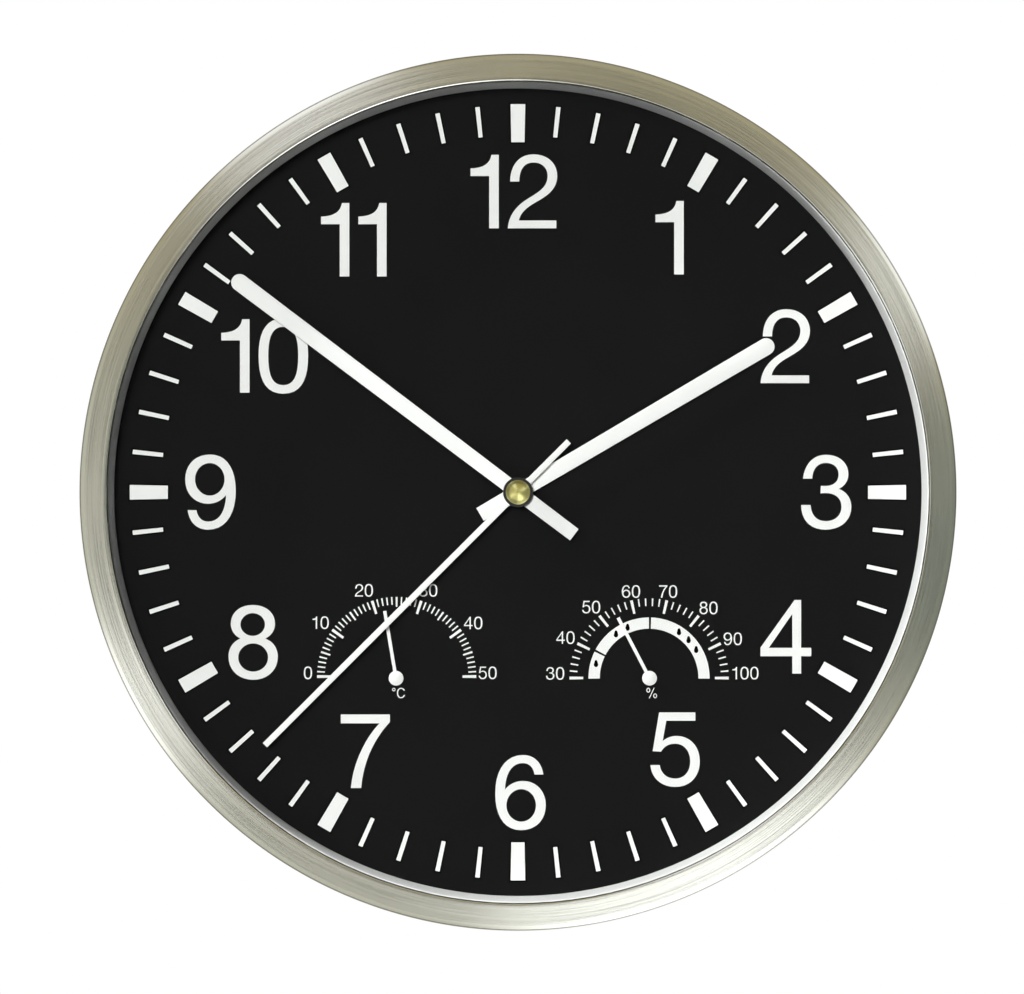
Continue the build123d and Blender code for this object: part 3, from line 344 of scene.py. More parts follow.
@dataclass(frozen=True)
class WorkedMetal(Finish):
    """Plated, polished or turned metal with drawn scratches and a slow change of tint."""

    colour: Colour
    tarnish: Colour
    roughness: float
    scratch: float
    depth: float
    patch: float
    drawn: tuple[float, float, float] = (1.0, 1.0, 0.08)
    tarnish_swing: float = 0.25
    scratch_swing: float = 0.1

    def shader(self, bench: Bench) -> Tone:
        """Noise stretched along one axis gives the scratches; slow noise gives the tint and gloss.

        Args:
            bench: the tree to build on.

        Returns:
            The shader.
        """
        place = bench.place()
        slow = bench.noise(place, self.patch, 3.0, 0.6)
        fine = bench.noise(bench.vectors("MULTIPLY", place, self.drawn), self.scratch, 2.0)
        return bench.principled(
            Base_Color=bench.tint(bench.span(slow, 0.35, 0.7), self.colour, self.tarnish),
            Roughness=(slow - 0.5) * self.tarnish_swing + (fine - 0.5) * self.scratch_swing + self.roughness,
            Metallic=1.0, Normal=bench.bump(fine, self.depth))


@dataclass(frozen=True)
class WoundWire(Finish):
    """Fine enamelled wire wound side by side along X."""

    colour: Colour
    # shade: painted shade for the grooves between the turns
    shade: Colour
    gauge: float
    groove: float = 0.03 * MM
    wander: float = 1.5 * MM

    def shader(self, bench: Bench) -> Tone:
        """A sine of X with the wire's width as its period gives both the relief and painted shade in the
        grooves.

        Args:
            bench: the tree to build on.

        Returns:
            The shader.
        """
        place = bench.place()
        x, _, _ = bench.apart(place)
        turn = (x * (2.0 * math.pi / self.gauge)).sine() * 0.5 + 0.5
        wander = bench.noise(place, self.wander, 2.0)
        # Painted shade: the colour darkens towards each groove between turns, following the sine of X
        return bench.principled(
            Base_Color=bench.tint(turn * 0.7 + wander * 0.3, self.shade, self.colour),
            Roughness=wander * 0.2 + 0.25, Metallic=0.85, Normal=bench.bump(turn, self.groove))


@dataclass(frozen=True)
class BoardMask(Finish):
    """Green solder mask over copper tracks."""

    colour: Colour
    track: Colour
    track_width: float = 0.35 * MM
    track_length: float = 4.2 * MM
    track_pitch: float = 2.4 * MM
    weave: float = 0.5 * MM
    lift: float = 0.03 * MM

    def shader(self, bench: Bench) -> Tone:
        """Thin lines of a brick pattern stand for the tracks and lift the mask a little.

        Args:
            bench: the tree to build on.

        Returns:
            The shader.
        """
        place = bench.place()
        x, _, z = bench.apart(place)
        flat = bench.vector(x, z, 0.0)
        lines = bench.node("ShaderNodeTexBrick", {"offset": 0.4}, {
            "Vector": flat, "Scale": 1.0, "Mortar Size": self.track_width, "Mortar Smooth": 0.2,
            "Brick Width": self.track_length, "Row Height": self.track_pitch}, "Fac")
        weave = bench.noise(place, self.weave, 1.0)
        return bench.principled(
            Base_Color=bench.tint(lines * 0.8 + weave * 0.1, self.colour, self.track),
            Roughness=weave * 0.2 + 0.25, Normal=bench.bump(lines + weave * 0.2, self.lift))


@dataclass(frozen=True)
class CellSleeve(Finish):
    """Printed film on the cell: a dark body, a pale ring and a metal-coloured end."""

    left: float
    right: float
    body: Colour = (0.10, 0.22, 0.16)
    ring: Colour = (0.62, 0.63, 0.60)
    end: Colour = (0.55, 0.36, 0.14)
    rubbed: Colour = (0.34, 0.35, 0.33)
    ring_at: float = 0.72
    end_at: float = 0.745
    line: float = 0.12 * MM
    line_depth: float = 0.0006 * MM

    def shader(self, bench: Bench) -> Tone:
        """Bands by the place along X, with fine lines along the film.

        Args:
            bench: the tree to build on.

        Returns:
            The shader.
        """
        place = bench.place()
        x, _, _ = bench.apart(place)
        along = (x - self.left) / (self.right - self.left)
        stops = [(0.0, self.body), (self.ring_at, self.ring), (self.end_at, self.end)]
        bands = bench.node("ShaderNodeValToRGB", {"stops": stops}, {0: along})
        drawn = bench.noise(bench.vectors("MULTIPLY", place, (0.02, 1.0, 1.0)), self.line, 1.0)
        worn = bench.noise(place, 4.0 * MM, 4.0, 0.6)
        return bench.principled(
            Base_Color=bench.tint(bench.span(worn, 0.62, 0.8, 0.0, 0.5), bands, self.rubbed),
            Roughness=drawn * 0.12 + 0.22, Metallic=0.35, Coat_Weight=0.3,
            Normal=bench.bump(drawn, self.line_depth))


@dataclass(frozen=True)
class PaleFloor(Finish):
    """Studio floor that fades into the white backdrop away from the clock."""

    colour: Colour
    bounce: Colour
    near: float
    far: float

    def shader(self, bench: Bench) -> Tone:
        """A matt floor near the clock, mixed with plain white by the distance from its middle.

        Light that the floor sends back to the clock is held down by the bounce colour.

        Args:
            bench: the tree to build on.

        Returns:
            The shader.
        """
        place = bench.place()
        x, y, _ = bench.apart(place)
        fade = bench.span((x * x + y * y) ** 0.5, self.near, self.far)
        grain = bench.noise(place, 3.0 * MM, 2.0)
        pale = bench.tint(grain, self.colour, tuple(part * 1.03 for part in self.colour))
        bounced = bench.node("ShaderNodeLightPath", output="Is Diffuse Ray")
        matt = bench.principled(Base_Color=bench.tint(bounced, pale, self.bounce), Roughness=0.8)
        white = bench.node("ShaderNodeEmission", sockets={"Color": (1.0, 1.0, 1.0, 1.0), "Strength": 1.0})
        path = bench.node("ShaderNodeLightPath", output="Is Camera Ray")
        return bench.node("ShaderNodeMixShader", sockets={0: fade * path, 1: matt, 2: white})


class Stock(Enum):
    """Finishes in use on the clock."""

    # The third colour is painted shade for the side of the rim that turns away from the front
    RIM = SpunMetal("rim_metal", (0.64, 0.64, 0.57), (0.61, 0.60, 0.52), (0.55, 0.52, 0.42), 0.17, 0.8,
                    0.03 * MM, 2.0)
    GLASS = PlateGlass("front_glass")
    WALL = Grained("wall_paint", (0.86, 0.86, 0.86), (0.81, 0.81, 0.80), 0.6, 0.1, 0.3 * MM, 0.006 * MM,
                   18.0 * MM, 0.0)
    DIAL = Grained("dial_lacquer", (0.0062, 0.0062, 0.0064), (0.0072, 0.0072, 0.0072), 0.55, 0.15,
                   0.12 * MM, 0.003 * MM, 30.0 * MM, 0.06)
    INK = Grained("white_ink", (0.87, 0.87, 0.86), (0.83, 0.83, 0.82), 0.6, 0.1, 0.15 * MM, 0.002 * MM,
                  9.0 * MM)
    BLACK_INK = Grained("black_ink", (0.0008, 0.0008, 0.0008), (0.0016, 0.0016, 0.0016), 0.5, 0.1, 0.15 * MM,
                        0.002 * MM, 18.0 * MM, 0.0)
    HAND = Grained("hand_paint", (0.88, 0.88, 0.87), (0.84, 0.84, 0.83), 0.42, 0.1, 0.2 * MM, 0.003 * MM)
    CASE = Grained("back_plastic", (0.034, 0.034, 0.035), (0.026, 0.026, 0.027), 0.5, 0.18, 0.6 * MM,
                   0.06 * MM)
    MOVEMENT = Grained("movement_plastic", (0.022, 0.022, 0.023), (0.028, 0.028, 0.029), 0.36, 0.18,
                       0.35 * MM, 0.02 * MM)
    KNOB = Grained("knob_plastic", (0.060, 0.060, 0.061), (0.050, 0.050, 0.051), 0.38, 0.15, 0.3 * MM,
                   0.01 * MM)
    COLLAR = Grained("collar_plastic", (0.008, 0.008, 0.008), (0.012, 0.012, 0.012), 0.35, 0.1, 0.2 * MM)
    RUBBER = Grained("seal_rubber", (0.02, 0.02, 0.02), (0.03, 0.03, 0.028), 0.8, 0.1, 0.25 * MM, 0.01 * MM)
    NYLON = Grained("wheel_nylon", (0.86, 0.85, 0.80), (0.80, 0.79, 0.73), 0.4, 0.1, 0.2 * MM, 0.004 * MM)
    MAGNET = Grained("magnet_ferrite", (0.12, 0.12, 0.12), (0.08, 0.08, 0.085), 0.6, 0.2, 0.1 * MM, 0.01 * MM)
    CAP = WorkedMetal("cap_brass", (0.80, 0.75, 0.32), (0.72, 0.65, 0.25), 0.33, 0.25 * MM, 0.0004 * MM,
                      3.0 * MM, (1.0, 1.0, 0.3))
    BRASS = WorkedMetal("turned_brass", (0.76, 0.60, 0.28), (0.62, 0.45, 0.18), 0.25, 0.2 * MM, 0.002 * MM,
                        4.0 * MM, (0.1, 1.0, 0.1))
    STEEL = WorkedMetal("zinc_steel", (0.64, 0.64, 0.64), (0.58, 0.575, 0.55), 0.32, 0.5 * MM, 0.006 * MM,
                        14.0 * MM, (0.03, 1.0, 1.0))
    CAN = WorkedMetal("cell_can", (0.70, 0.70, 0.69), (0.60, 0.59, 0.56), 0.28, 0.2 * MM, 0.002 * MM,
                      5.0 * MM)
    BIMETAL = WorkedMetal("bimetal_strip", (0.62, 0.55, 0.42), (0.50, 0.40, 0.26), 0.35, 0.25 * MM,
                          0.003 * MM, 5.0 * MM, (1.0, 0.05, 1.0))
    # The second colour is painted shade in the grooves between the wire's turns
    COPPER = WoundWire("coil_wire", (0.72, 0.35, 0.18), (0.20, 0.07, 0.03), 0.22 * MM)
    BOARD = BoardMask("board_mask", (0.04, 0.22, 0.10), (0.10, 0.36, 0.17))

    def material(self) -> bpy.types.Material:
        """The material of this finish."""
        return self.value.material()


@dataclass
class Surface:
    """Points and faces of a closed piece, kept as whole arrays."""

    points: np.ndarray
    quads: np.ndarray
    triangles: np.ndarray

    @staticmethod
    def joined(parts: list["Surface"]) -> "Surface":
        """Puts surfaces into one; the point numbers of each move on by the points before it.

        Args:
            parts: the surfaces.

        Returns:
            One surface.
        """
        shifts = np.cumsum([0] + [len(part.points) for part in parts[:-1]])
        return Surface(np.concatenate([part.points for part in parts]),
                       np.concatenate([part.quads + shift for part, shift in zip(parts, shifts)]),
                       np.concatenate([part.triangles + shift for part, shift in zip(parts, shifts)]))

    def outward(self) -> "Surface":
        """Turns the faces outwards.

        Six times the volume is the sum of a · (b × c) over the triangles; below zero the faces point in.

        Returns:
            The surface, or the same with its faces turned round.
        """
        corners = np.concatenate([self.triangles, self.quads[:, [0, 1, 2]], self.quads[:, [0, 2, 3]]])
        first, second, third = (self.points[corners[:, k]] for k in range(3))
        if np.einsum("ij,ij->", first, np.cross(second, third)) < 0.0:
            return Surface(self.points, self.quads[:, ::-1], self.triangles[:, ::-1])
        return self

    def turned_to_x(self, start: float, depth: float, level: float) -> "Surface":
        """Lays a piece turned about Y along X: its depth becomes the way to the right of start.

        Args:
            start: X of the piece's rear end.
            depth: depth of the new axis.
            level: Z of the new axis.

        Returns:
            The laid surface.
        """
        x, y, z = self.points.T
        laid = np.stack([start - y, x - depth, z + level], axis=-1)
        return Surface(laid, self.quads, self.triangles).outward()

    def build(self, name: str, body: str, finish: Stock | Finish, slot: str,
              crease: float = 32.0) -> bpy.types.Object:
        """Makes the object.

        Args:
            name: name of the piece.
            body: CAD body it rides on.
            finish: its finish, from the stock or of its own.
            slot: the record's material slot; not used.
            crease: edges sharper than this angle in degrees stay sharp.

        Returns:
            The object, riding on its body.
        """
        mesh = bpy.data.meshes.new(name)
        corners = np.concatenate([self.quads.ravel(), self.triangles.ravel()]).astype(np.int32)
        starts = np.concatenate([np.arange(len(self.quads)) * 4,
                                 len(self.quads) * 4 + np.arange(len(self.triangles)) * 3]).astype(np.int32)
        mesh.vertices.add(len(self.points))
        mesh.vertices.foreach_set("co", self.points.astype(np.float32).ravel())
        mesh.loops.add(len(corners))
        mesh.loops.foreach_set("vertex_index", corners)
        mesh.polygons.add(len(starts))
        mesh.polygons.foreach_set("loop_start", starts)
        mesh.update(calc_edges=True)
        mesh.polygons.foreach_set("use_smooth", np.ones(len(starts), dtype=bool))
        mesh.set_sharp_from_angle(angle=math.radians(crease))
        mesh.materials.append(finish.material())
        made = bpy.data.objects.new(name, mesh)
        bpy.context.scene.collection.objects.link(made)
        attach(made, body)
        log.info("%s: %d faces on %s", name, len(starts), body)
        return made


def grid_quads(rows: int, columns: int, wrap_rows: bool) -> np.ndarray:
    """Faces of a grid whose columns close into a ring.

    Each face joins the points (i, j), (i, j + 1), (i + 1, j + 1) and (i + 1, j).

    Args:
        rows: rows of points.
        columns: points in a row.
        wrap_rows: whether the last row joins the first.

    Returns:
        One row of four point numbers for each face.
    """
    i, j = np.meshgrid(np.arange(rows if wrap_rows else rows - 1), np.arange(columns), indexing="ij")
    after_i, after_j = (i + 1) % rows, (j + 1) % columns
    corners = [i * columns + j, i * columns + after_j, after_i * columns + after_j, after_i * columns + j]
    return np.stack(corners, axis=-1).reshape(-1, 4)


def turned(section: np.ndarray, steps: int, centre: tuple[float, float] = (0.0, 0.0)) -> Surface:
    """Turns a section about an axis along Y.

    The section's point (r, d) goes to (x + r cos t, -d, z + r sin t) for t over a whole turn. A section that
    starts and ends on the axis gets a pole at each end; any other is a closed ring.

    Args:
        section: rows of radius and depth.
        steps: points around the turn.
        centre: place of the axis in X and Z.

    Returns:
        The closed surface.
    """
    turn = np.arange(steps) * (2.0 * np.pi / steps)
    poled = section[0, 0] == 0.0
    ring = section[1:-1] if poled else section
    (x, z), radius, depth = centre, ring[:, :1], ring[:, 1:]
    points = np.stack([x + radius * np.cos(turn), -depth + 0.0 * turn, z + radius * np.sin(turn)], axis=-1)
    points = points.reshape(-1, 3)
    quads = grid_quads(len(ring), steps, not poled)
    triangles = np.zeros((0, 3), dtype=int)
    if poled:
        here, last = np.arange(steps), (len(ring) - 1) * steps
        after = (here + 1) % steps
        pole = np.full(steps, len(points))
        triangles = np.concatenate([np.stack([pole, after, here], axis=-1),
                                    np.stack([last + here, last + after, pole + 1], axis=-1)])
        ends = [[x, -section[k, 1], z] for k in (0, -1)]
        points = np.concatenate([points, ends])
    return Surface(points, quads, triangles).outward()


def arc(middle: tuple[float, float], radius: float, start: float, end: float, count: int) -> np.ndarray:
    """Points (a + r cos t, b + r sin t) for t from start to end in degrees."""
    turn = np.radians(np.linspace(start, end, count))
    return np.stack([middle[0] + radius * np.cos(turn), middle[1] + radius * np.sin(turn)], axis=-1)


def chain(*parts: np.ndarray | tuple[float, float]) -> np.ndarray:
    """Strings points and rows of points together into one line."""
    return np.concatenate([np.atleast_2d(np.asarray(part, dtype=float)) for part in parts])


def wound(outline: np.ndarray, leftwise: bool) -> np.ndarray:
    """Gives an outline the asked sense, by the sign of its area (half the sum of a × b along it).

    Args:
        outline: the closed line.
        leftwise: whether it has to run leftwards round.

    Returns:
        The outline, or the same from end to start.
    """
    after = np.roll(outline, -1, axis=0)
    area = np.sum(outline[:, 0] * after[:, 1] - outline[:, 1] * after[:, 0])
    return outline if (area > 0.0) == leftwise else outline[::-1]


def spun(line: np.ndarray, angle: float) -> np.ndarray:
    """Turns a line about the origin leftwards by degrees: (x cos t - z sin t, x sin t + z cos t)."""
    turn = math.radians(angle)
    return line @ np.array([[math.cos(turn), math.sin(turn)], [-math.sin(turn), math.cos(turn)]])


def plate(outlines: list[np.ndarray], back: float, front: float, edge: float = 0.0,
          trim: float = 0.0) -> Surface:
    """Stamps a flat plate out of outlines in X and Z.

    The edge's profile, up the wall and over a quarter round, is carried along each outline: a point moves
    inwards along the mitre of its two sides, (n1 + n2) / (1 + n1 · n2), by the profile's inset. The two flat
    faces are filled between the outlines.

    Args:
        outlines: the outer line, then the holes.
        back: depth of the rear face.
        front: depth of the front face.
        edge: radius of the round at the front edge.
        trim: width that is taken off all round.

    Returns:
        The closed surface.
    """
    turn = np.linspace(0.0, np.pi / 2, 4) if edge else np.zeros(1)
    inset = np.concatenate([[0.0], edge * (1.0 - np.cos(turn))]) + trim
    depth = np.concatenate([[back], front - edge + edge * np.sin(turn)])
    layers, quads, rims, count = [], [], ([], []), 0
    for number, outline in enumerate(outlines):
        line = wound(np.asarray(outline, dtype=float), number == 0)
        side = np.roll(line, -1, axis=0) - line
        side /= np.linalg.norm(side, axis=1, keepdims=True)
        normal = np.stack([side[:, 1], -side[:, 0]], axis=-1)
        before = np.roll(normal, 1, axis=0)
        mitre = (normal + before) / np.maximum(1.0 + np.sum(normal * before, axis=1), 0.3)[:, None]
        flat = line[None] - mitre[None] * inset[:, None, None]
        deep = np.broadcast_to(-depth[:, None], flat.shape[:2])
        layers.append(np.stack([flat[..., 0], deep, flat[..., 1]], axis=-1).reshape(-1, 3))
        quads.append(grid_quads(len(depth), len(line), False) + count)
        for rim, row in zip(rims, (0, len(depth) - 1)):
            rim.append(count + row * len(line) + np.arange(len(line)))
        count += len(layers[-1])
    points = np.concatenate(layers)
    faces = []
    for rim, towards_viewer in zip(rims, (False, True)):
        filled = tessellate_polygon([[Vector((*points[k, [0, 2]], 0.0)) for k in line] for line in rim])
        three = np.concatenate(rim)[np.asarray(filled, dtype=int).reshape(-1, 3)]
        first, second, third = (points[three[:, k]][:, [0, 2]] for k in range(3))
        along, aside = second - first, third - first
        left = along[:, 0] * aside[:, 1] - along[:, 1] * aside[:, 0] > 0.0
        faces.append(np.where((left == towards_viewer)[:, None], three, three[:, ::-1]))
    return Surface(points, np.concatenate(quads), np.concatenate(faces))


def films(shapes: list[list[np.ndarray]], back: float, front: float, trim: float = 0.0) -> Surface:
    """Puts plates with plain edges into one surface.

    Args:
        shapes: for each plate, its outer line and its holes.
        back: depth of the rear faces.
        front: depth of the front faces.
        trim: width that is taken off all round.

    Returns:
        One surface.
    """
    return Surface.joined([plate(shape, back, front, 0.0, trim) for shape in shapes])


def sector(centre: tuple[float, float], inner: float, outer: float, start: float, end: float,
           count: int) -> np.ndarray:
    """Outline between two radii and two angles: out along one arc and back along the other."""
    return chain(arc(centre, outer, start, end, count), arc(centre, inner, end, start, count))


def bar_mark(centre: tuple[float, float], inner: float, outer: float, width: float,
             angle: float) -> np.ndarray:
    """Outline of a scale mark: a sector with the asked width at its outer end."""
    half = math.degrees(width / 2 / outer)
    return sector(centre, inner, outer, angle - half, angle + half, 4)


class Lettering:
    """Plain figures for a dial, drawn from lines (L), cubic curves (C) and ellipses (O)."""

    SHAPES = {
        "0": "M338 1010 C590 1010 676 800 676 498 C676 196 590 -14 338 -14 C86 -14 0 196 0 498 "
             "C0 800 86 1010 338 1010 M336 888 C490 888 535 740 535 498 C535 256 490 108 336 108 "
             "C182 108 138 256 138 498 C138 740 182 888 336 888",
        "1": "M0 705 L0 814 C150 818 262 860 283 998 L388 998 L388 0 L252 0 L252 705",
        "2": "M31 631 C31 850 150 1005 348 1005 C545 1005 674 880 674 708 C674 520 520 430 380 350 "
             "C260 283 180 215 157 112 L662 112 L662 0 L0 0 C10 130 60 240 186 345 C330 460 538 520 538 705 "
             "C538 815 465 888 350 888 C225 888 162 795 162 631",
        "3": "M26 676 C45 880 170 1006 337 1006 C520 1006 645 895 645 741 C645 650 595 580 520 542 "
             "C620 505 685 415 685 299 C685 115 540 -12 332 -12 C135 -12 0 110 0 328 L134 328 "
             "C145 185 215 110 337 110 C460 110 545 185 545 299 C545 415 465 482 332 482 "
             "C310 482 285 480 261 476 L267 587 C290 585 310 585 332 585 C440 585 506 640 506 737 "
             "C506 830 440 889 337 889 C230 889 160 810 158 676",
        "4": "M0 234 L430 234 L430 0 L555 0 L555 234 L691 234 L691 354 L555 354 L555 1000 L462 1000 L0 354 "
             "M122 354 L430 354 L430 801",
        "5": "M31 471 L150 464 C190 540 260 571 340 571 C460 571 538 470 538 333 C538 195 455 107 340 107 "
             "C220 107 145 185 133 290 L0 290 C10 110 150 -12 340 -12 C545 -12 674 135 674 333 "
             "C674 540 545 683 352 683 C285 683 220 655 174 619 L221 881 L614 881 L614 1000 L119 1000",
        "6": "M657 739 C635 910 530 1009 378 1009 C140 1009 0 800 0 487 C0 170 130 -12 351 -12 "
             "C550 -12 689 125 689 330 C689 525 555 659 378 659 C285 659 195 620 137 545 "
             "C150 770 235 893 373 893 C460 893 515 840 530 739 O354 326 196 216",
        "7": "M0 1000 L669 1000 L669 893 C480 690 310 390 281 0 L136 0 C160 330 330 680 517 873 L0 873",
        "8": "M330 1006 C510 1006 634 900 634 751 C634 660 585 590 507 550 C610 510 672 420 672 305 "
             "C672 120 530 -10 338 -10 C140 -10 0 120 0 305 C0 420 60 510 156 550 C80 590 31 660 31 751 "
             "C31 900 150 1006 330 1006 O330 739 162 150 O336 294 198 187",
        "C": "M790 330 C760 115 615 -14 405 -14 C160 -14 0 190 0 498 C0 806 165 1010 410 1010 "
             "C605 1010 745 900 780 715 L640 715 C610 825 530 890 412 890 C245 890 142 740 142 500 "
             "C142 262 245 106 405 106 C535 106 625 185 650 330",
        "o": "O170 830 170 170 O170 830 85 85",
        "%": "O200 770 200 240 O200 770 88 140 | O860 230 200 240 O860 230 88 140 | "
             "M235 -20 L345 -20 L830 1020 L720 1020",
    }
    CURVE_POINTS = 9
    HEIGHT = 1000.0
    NINE_CORNER = (689.0, 997.0)

    @classmethod
    def shape(cls, sign: str) -> list[list[np.ndarray]]:
        """Outlines of one sign.

        A cubic runs through a(1-t)³ + 3b(1-t)²t + 3c(1-t)t² + dt³.

        Args:
            sign: a figure or unit sign; 9 is the 6 turned half round.

        Returns:
            For each separate part of the sign, its outer line and its holes.
        """
        if sign == "9":
            return [[np.array(cls.NINE_CORNER) - line for line in part] for part in cls.shape("6")]
        step = np.linspace(0.0, 1.0, cls.CURVE_POINTS + 1)[1:, None]
        parts = []
        for words in cls.SHAPES[sign].split("|"):
            lines = []
            for letter, text in re.findall(r"([MLCO])([^MLCO]*)", words):
                numbers = np.array([float(word) for word in text.split()])
                if letter == "O":
                    lines.append(arc((0.0, 0.0), 1.0, 0.0, 360.0, 37)[:-1] * numbers[2:] + numbers[:2])
                elif letter == "M":
                    lines.append(numbers[None])
                elif letter == "L":
                    lines[-1] = chain(lines[-1], numbers)
                else:
                    a, b, c, d = lines[-1][-1], *numbers.reshape(3, 2)
                    rest = 1.0 - step
                    bent = 3 * b * rest ** 2 * step + 3 * c * rest * step ** 2
                    lines[-1] = chain(lines[-1], a * rest ** 3 + bent + d * step ** 3)
            parts.append([line[:-1] if np.allclose(line[0], line[-1]) else line for line in lines])
        return parts

    @classmethod
    def word(cls, signs: str, height: float, centre: tuple[float, float], gap: float,
             after_one: float = 0.0) -> list[list[np.ndarray]]:
        """Sets signs side by side around a centre.

        Args:
            signs: the signs.
            height: height of a figure.
            centre: middle of the whole word in X and Z.
            gap: space between signs, as a share of the height.
            after_one: more space after a 1, as the same share.

        Returns:
            The placed outlines of every part.
        """
        parts, reach = [], 0.0
        for sign in signs:
            shape = cls.shape(sign)
            parts += [[line + (reach, 0.0) for line in part] for part in shape]
            reach += max(part[0][:, 0].max() for part in shape) + gap * cls.HEIGHT
            reach += after_one * cls.HEIGHT if sign == "1" else 0.0
        middle = np.array([(reach - gap * cls.HEIGHT) / 2, cls.HEIGHT / 2])
        return [[(line - middle) * (height / cls.HEIGHT) + centre for line in part] for part in parts]


@dataclass
class Case:
    """Rim, glass and inner wall."""

    lip_radius: float = 140.5 * MM
    lip_round: float = 0.5 * MM
    lip_undercut: float = 0.8 * MM
    lip_depth: float = 4.0 * MM
    wall: float = 1.5 * MM
    outer_round: float = 2.2 * MM
    slope: float = 5.0
    hem: float = 0.4 * MM
    spacer_foot: float = 140.0 * MM
    spacer_wall: float = 2.0 * MM
    spacer_flange: float = 1.6 * MM
    bevel: float = 0.5 * MM
    steps: int = 480
    glass_steps: int = 256

    def rim_section(self) -> np.ndarray:
        """Section of the rim.

        Up the outer wall, over the outer round, in along the face, which rises towards the middle by the
        slope in degrees, over the lip's round, down the undercut lip and back inside by the sheet's gauge.

        Returns:
            Rows of radius and depth.
        """
        low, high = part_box("bezel")
        radius, front = high.x, -low.y
        tilt = math.radians(self.slope)
        shoulder, crest = radius - self.outer_round, self.lip_radius + self.lip_round
        edge = shoulder + self.outer_round * math.sin(tilt)
        fall = math.tan(tilt) * (edge - crest)
        middle = front - fall - self.outer_round * math.cos(tilt)
        rear, inner = front - self.lip_depth, self.lip_radius + self.wall
        share = np.linspace(0.0, 1.0, 9)[1:-1]
        face = np.stack([edge + (crest - edge) * share, front - fall * (1.0 - share)], axis=-1)
        return chain(
            (radius - self.hem, 0.0), (radius, self.hem), (radius, middle / 3), (radius, middle * 2 / 3),
            arc((shoulder, middle), self.outer_round, 0.0, 90.0 - self.slope, 24), face,
            arc((crest, front - self.lip_round), self.lip_round, 90.0, 180.0, 12),
            (self.lip_radius + self.lip_undercut, rear), (inner, rear), (inner, front - self.wall),
            arc((shoulder, middle), self.outer_round - self.wall, 90.0 - self.slope, 0.0, 10),
            (radius - self.wall, 0.0))

    def build(self) -> None:
        """Builds the three turned pieces in place of their nodes."""
        rim = turned(self.rim_section(), self.steps)
        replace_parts(rim.build("rim", "case", Stock.RIM, "brushed_aluminium", 40.0), "bezel")
        low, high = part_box("lens")
        edge, rear, front = high.x, -high.y, -low.y
        section = chain((0.0, rear), (edge - self.bevel, rear), (edge, rear + self.bevel),
                        (edge, front - self.bevel), (edge - self.bevel, front), (0.0, front))
        glass = turned(section, self.glass_steps)
        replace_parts(glass.build("front_glass", "case", Stock.GLASS, "clear_glass", 20.0), "lens")
        low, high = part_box("spacer_ring")
        outer, foot, top = high.x, -high.y, -low.y
        section = chain((self.spacer_foot, foot), (self.spacer_foot + self.spacer_wall, foot),
                        (self.lip_radius + self.spacer_wall, top - self.spacer_flange),
                        (outer, top - self.spacer_flange), (outer, top),
                        arc((self.lip_radius + self.bevel, top - self.bevel), self.bevel, 90.0, 180.0, 6))
        wall = turned(section, self.steps)
        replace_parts(wall.build("inner_wall", "case", Stock.WALL, "silver_ring", 40.0), "spacer_ring")


@dataclass
class DialPrint:
    """White print on the black dial: hour bars, minute ticks and hour numbers."""

    bar: tuple[float, float, float] = (121.4 * MM, 134.6 * MM, 5.1 * MM)
    tick: tuple[float, float, float] = (123.7 * MM, 134.3 * MM, 1.55 * MM)
    keyline: float = 0.5 * MM
    keyline_share: float = 0.4
    film: float = 0.05 * MM
    number_height: float = 25.7 * MM
    number_gap: float = 0.115
    number_trim: float = 0.09 * MM

    def marks(self, more: float = 0.0) -> list[list[list[np.ndarray]]]:
        """Shapes of the hour bars and the minute ticks, from their inner radius, outer radius and width.

        Args:
            more: width that is added all round.

        Returns:
            The bars and the ticks.
        """
        hours, minutes = range(0, 360, 30), [angle for angle in range(0, 360, 6) if angle % 30]
        return [[[bar_mark((0.0, 0.0), inner - more, outer + more, width + 2 * more, a)] for a in angles]
                for (inner, outer, width), angles in ((self.bar, hours), (self.tick, minutes))]

    def numbers(self) -> list[list[np.ndarray]]:
        """Shapes of the twelve hour numbers, each around its own middle on the dial in millimetres.

        Returns:
            The shapes of every figure's parts.
        """
        middles = {"12": (-1.4, 104.3), "1": (52.6, 88.3), "2": (92.7, 50.6), "3": (106.9, 0.1),
                   "4": (92.9, -50.1), "5": (54.5, -89.1), "6": (0.9, -104.1), "7": (-52.9, -89.8),
                   "8": (-91.8, -52.0), "9": (-106.6, 0.1), "10": (-87.8, 47.3), "11": (-56.9, 87.6)}
        return [part for signs, (x, z) in middles.items()
                for part in Lettering.word(signs, self.number_height, (x * MM, z * MM), self.number_gap)]

    def build(self) -> None:
        """Builds the print as thin films on the dial; the black edge of the marks lies under the white."""
        face = -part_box("dial")[0].y
        back, front = face - self.film, face + self.film
        bars, ticks = self.marks()
        edges, low_front = sum(self.marks(self.keyline), []), face + self.film * self.keyline_share
        films(bars, back, front).build("hour_bars", "case", Stock.INK, "hand_white")
        films(ticks, back, front).build("minute_ticks", "case", Stock.INK, "hand_white")
        films(edges, back, low_front).build("mark_edges", "case", Stock.BLACK_INK, "dial_black")
        numbers = films(self.numbers(), back, front, self.number_trim)
        numbers.build("hour_numbers", "case", Stock.INK, "hand_white")


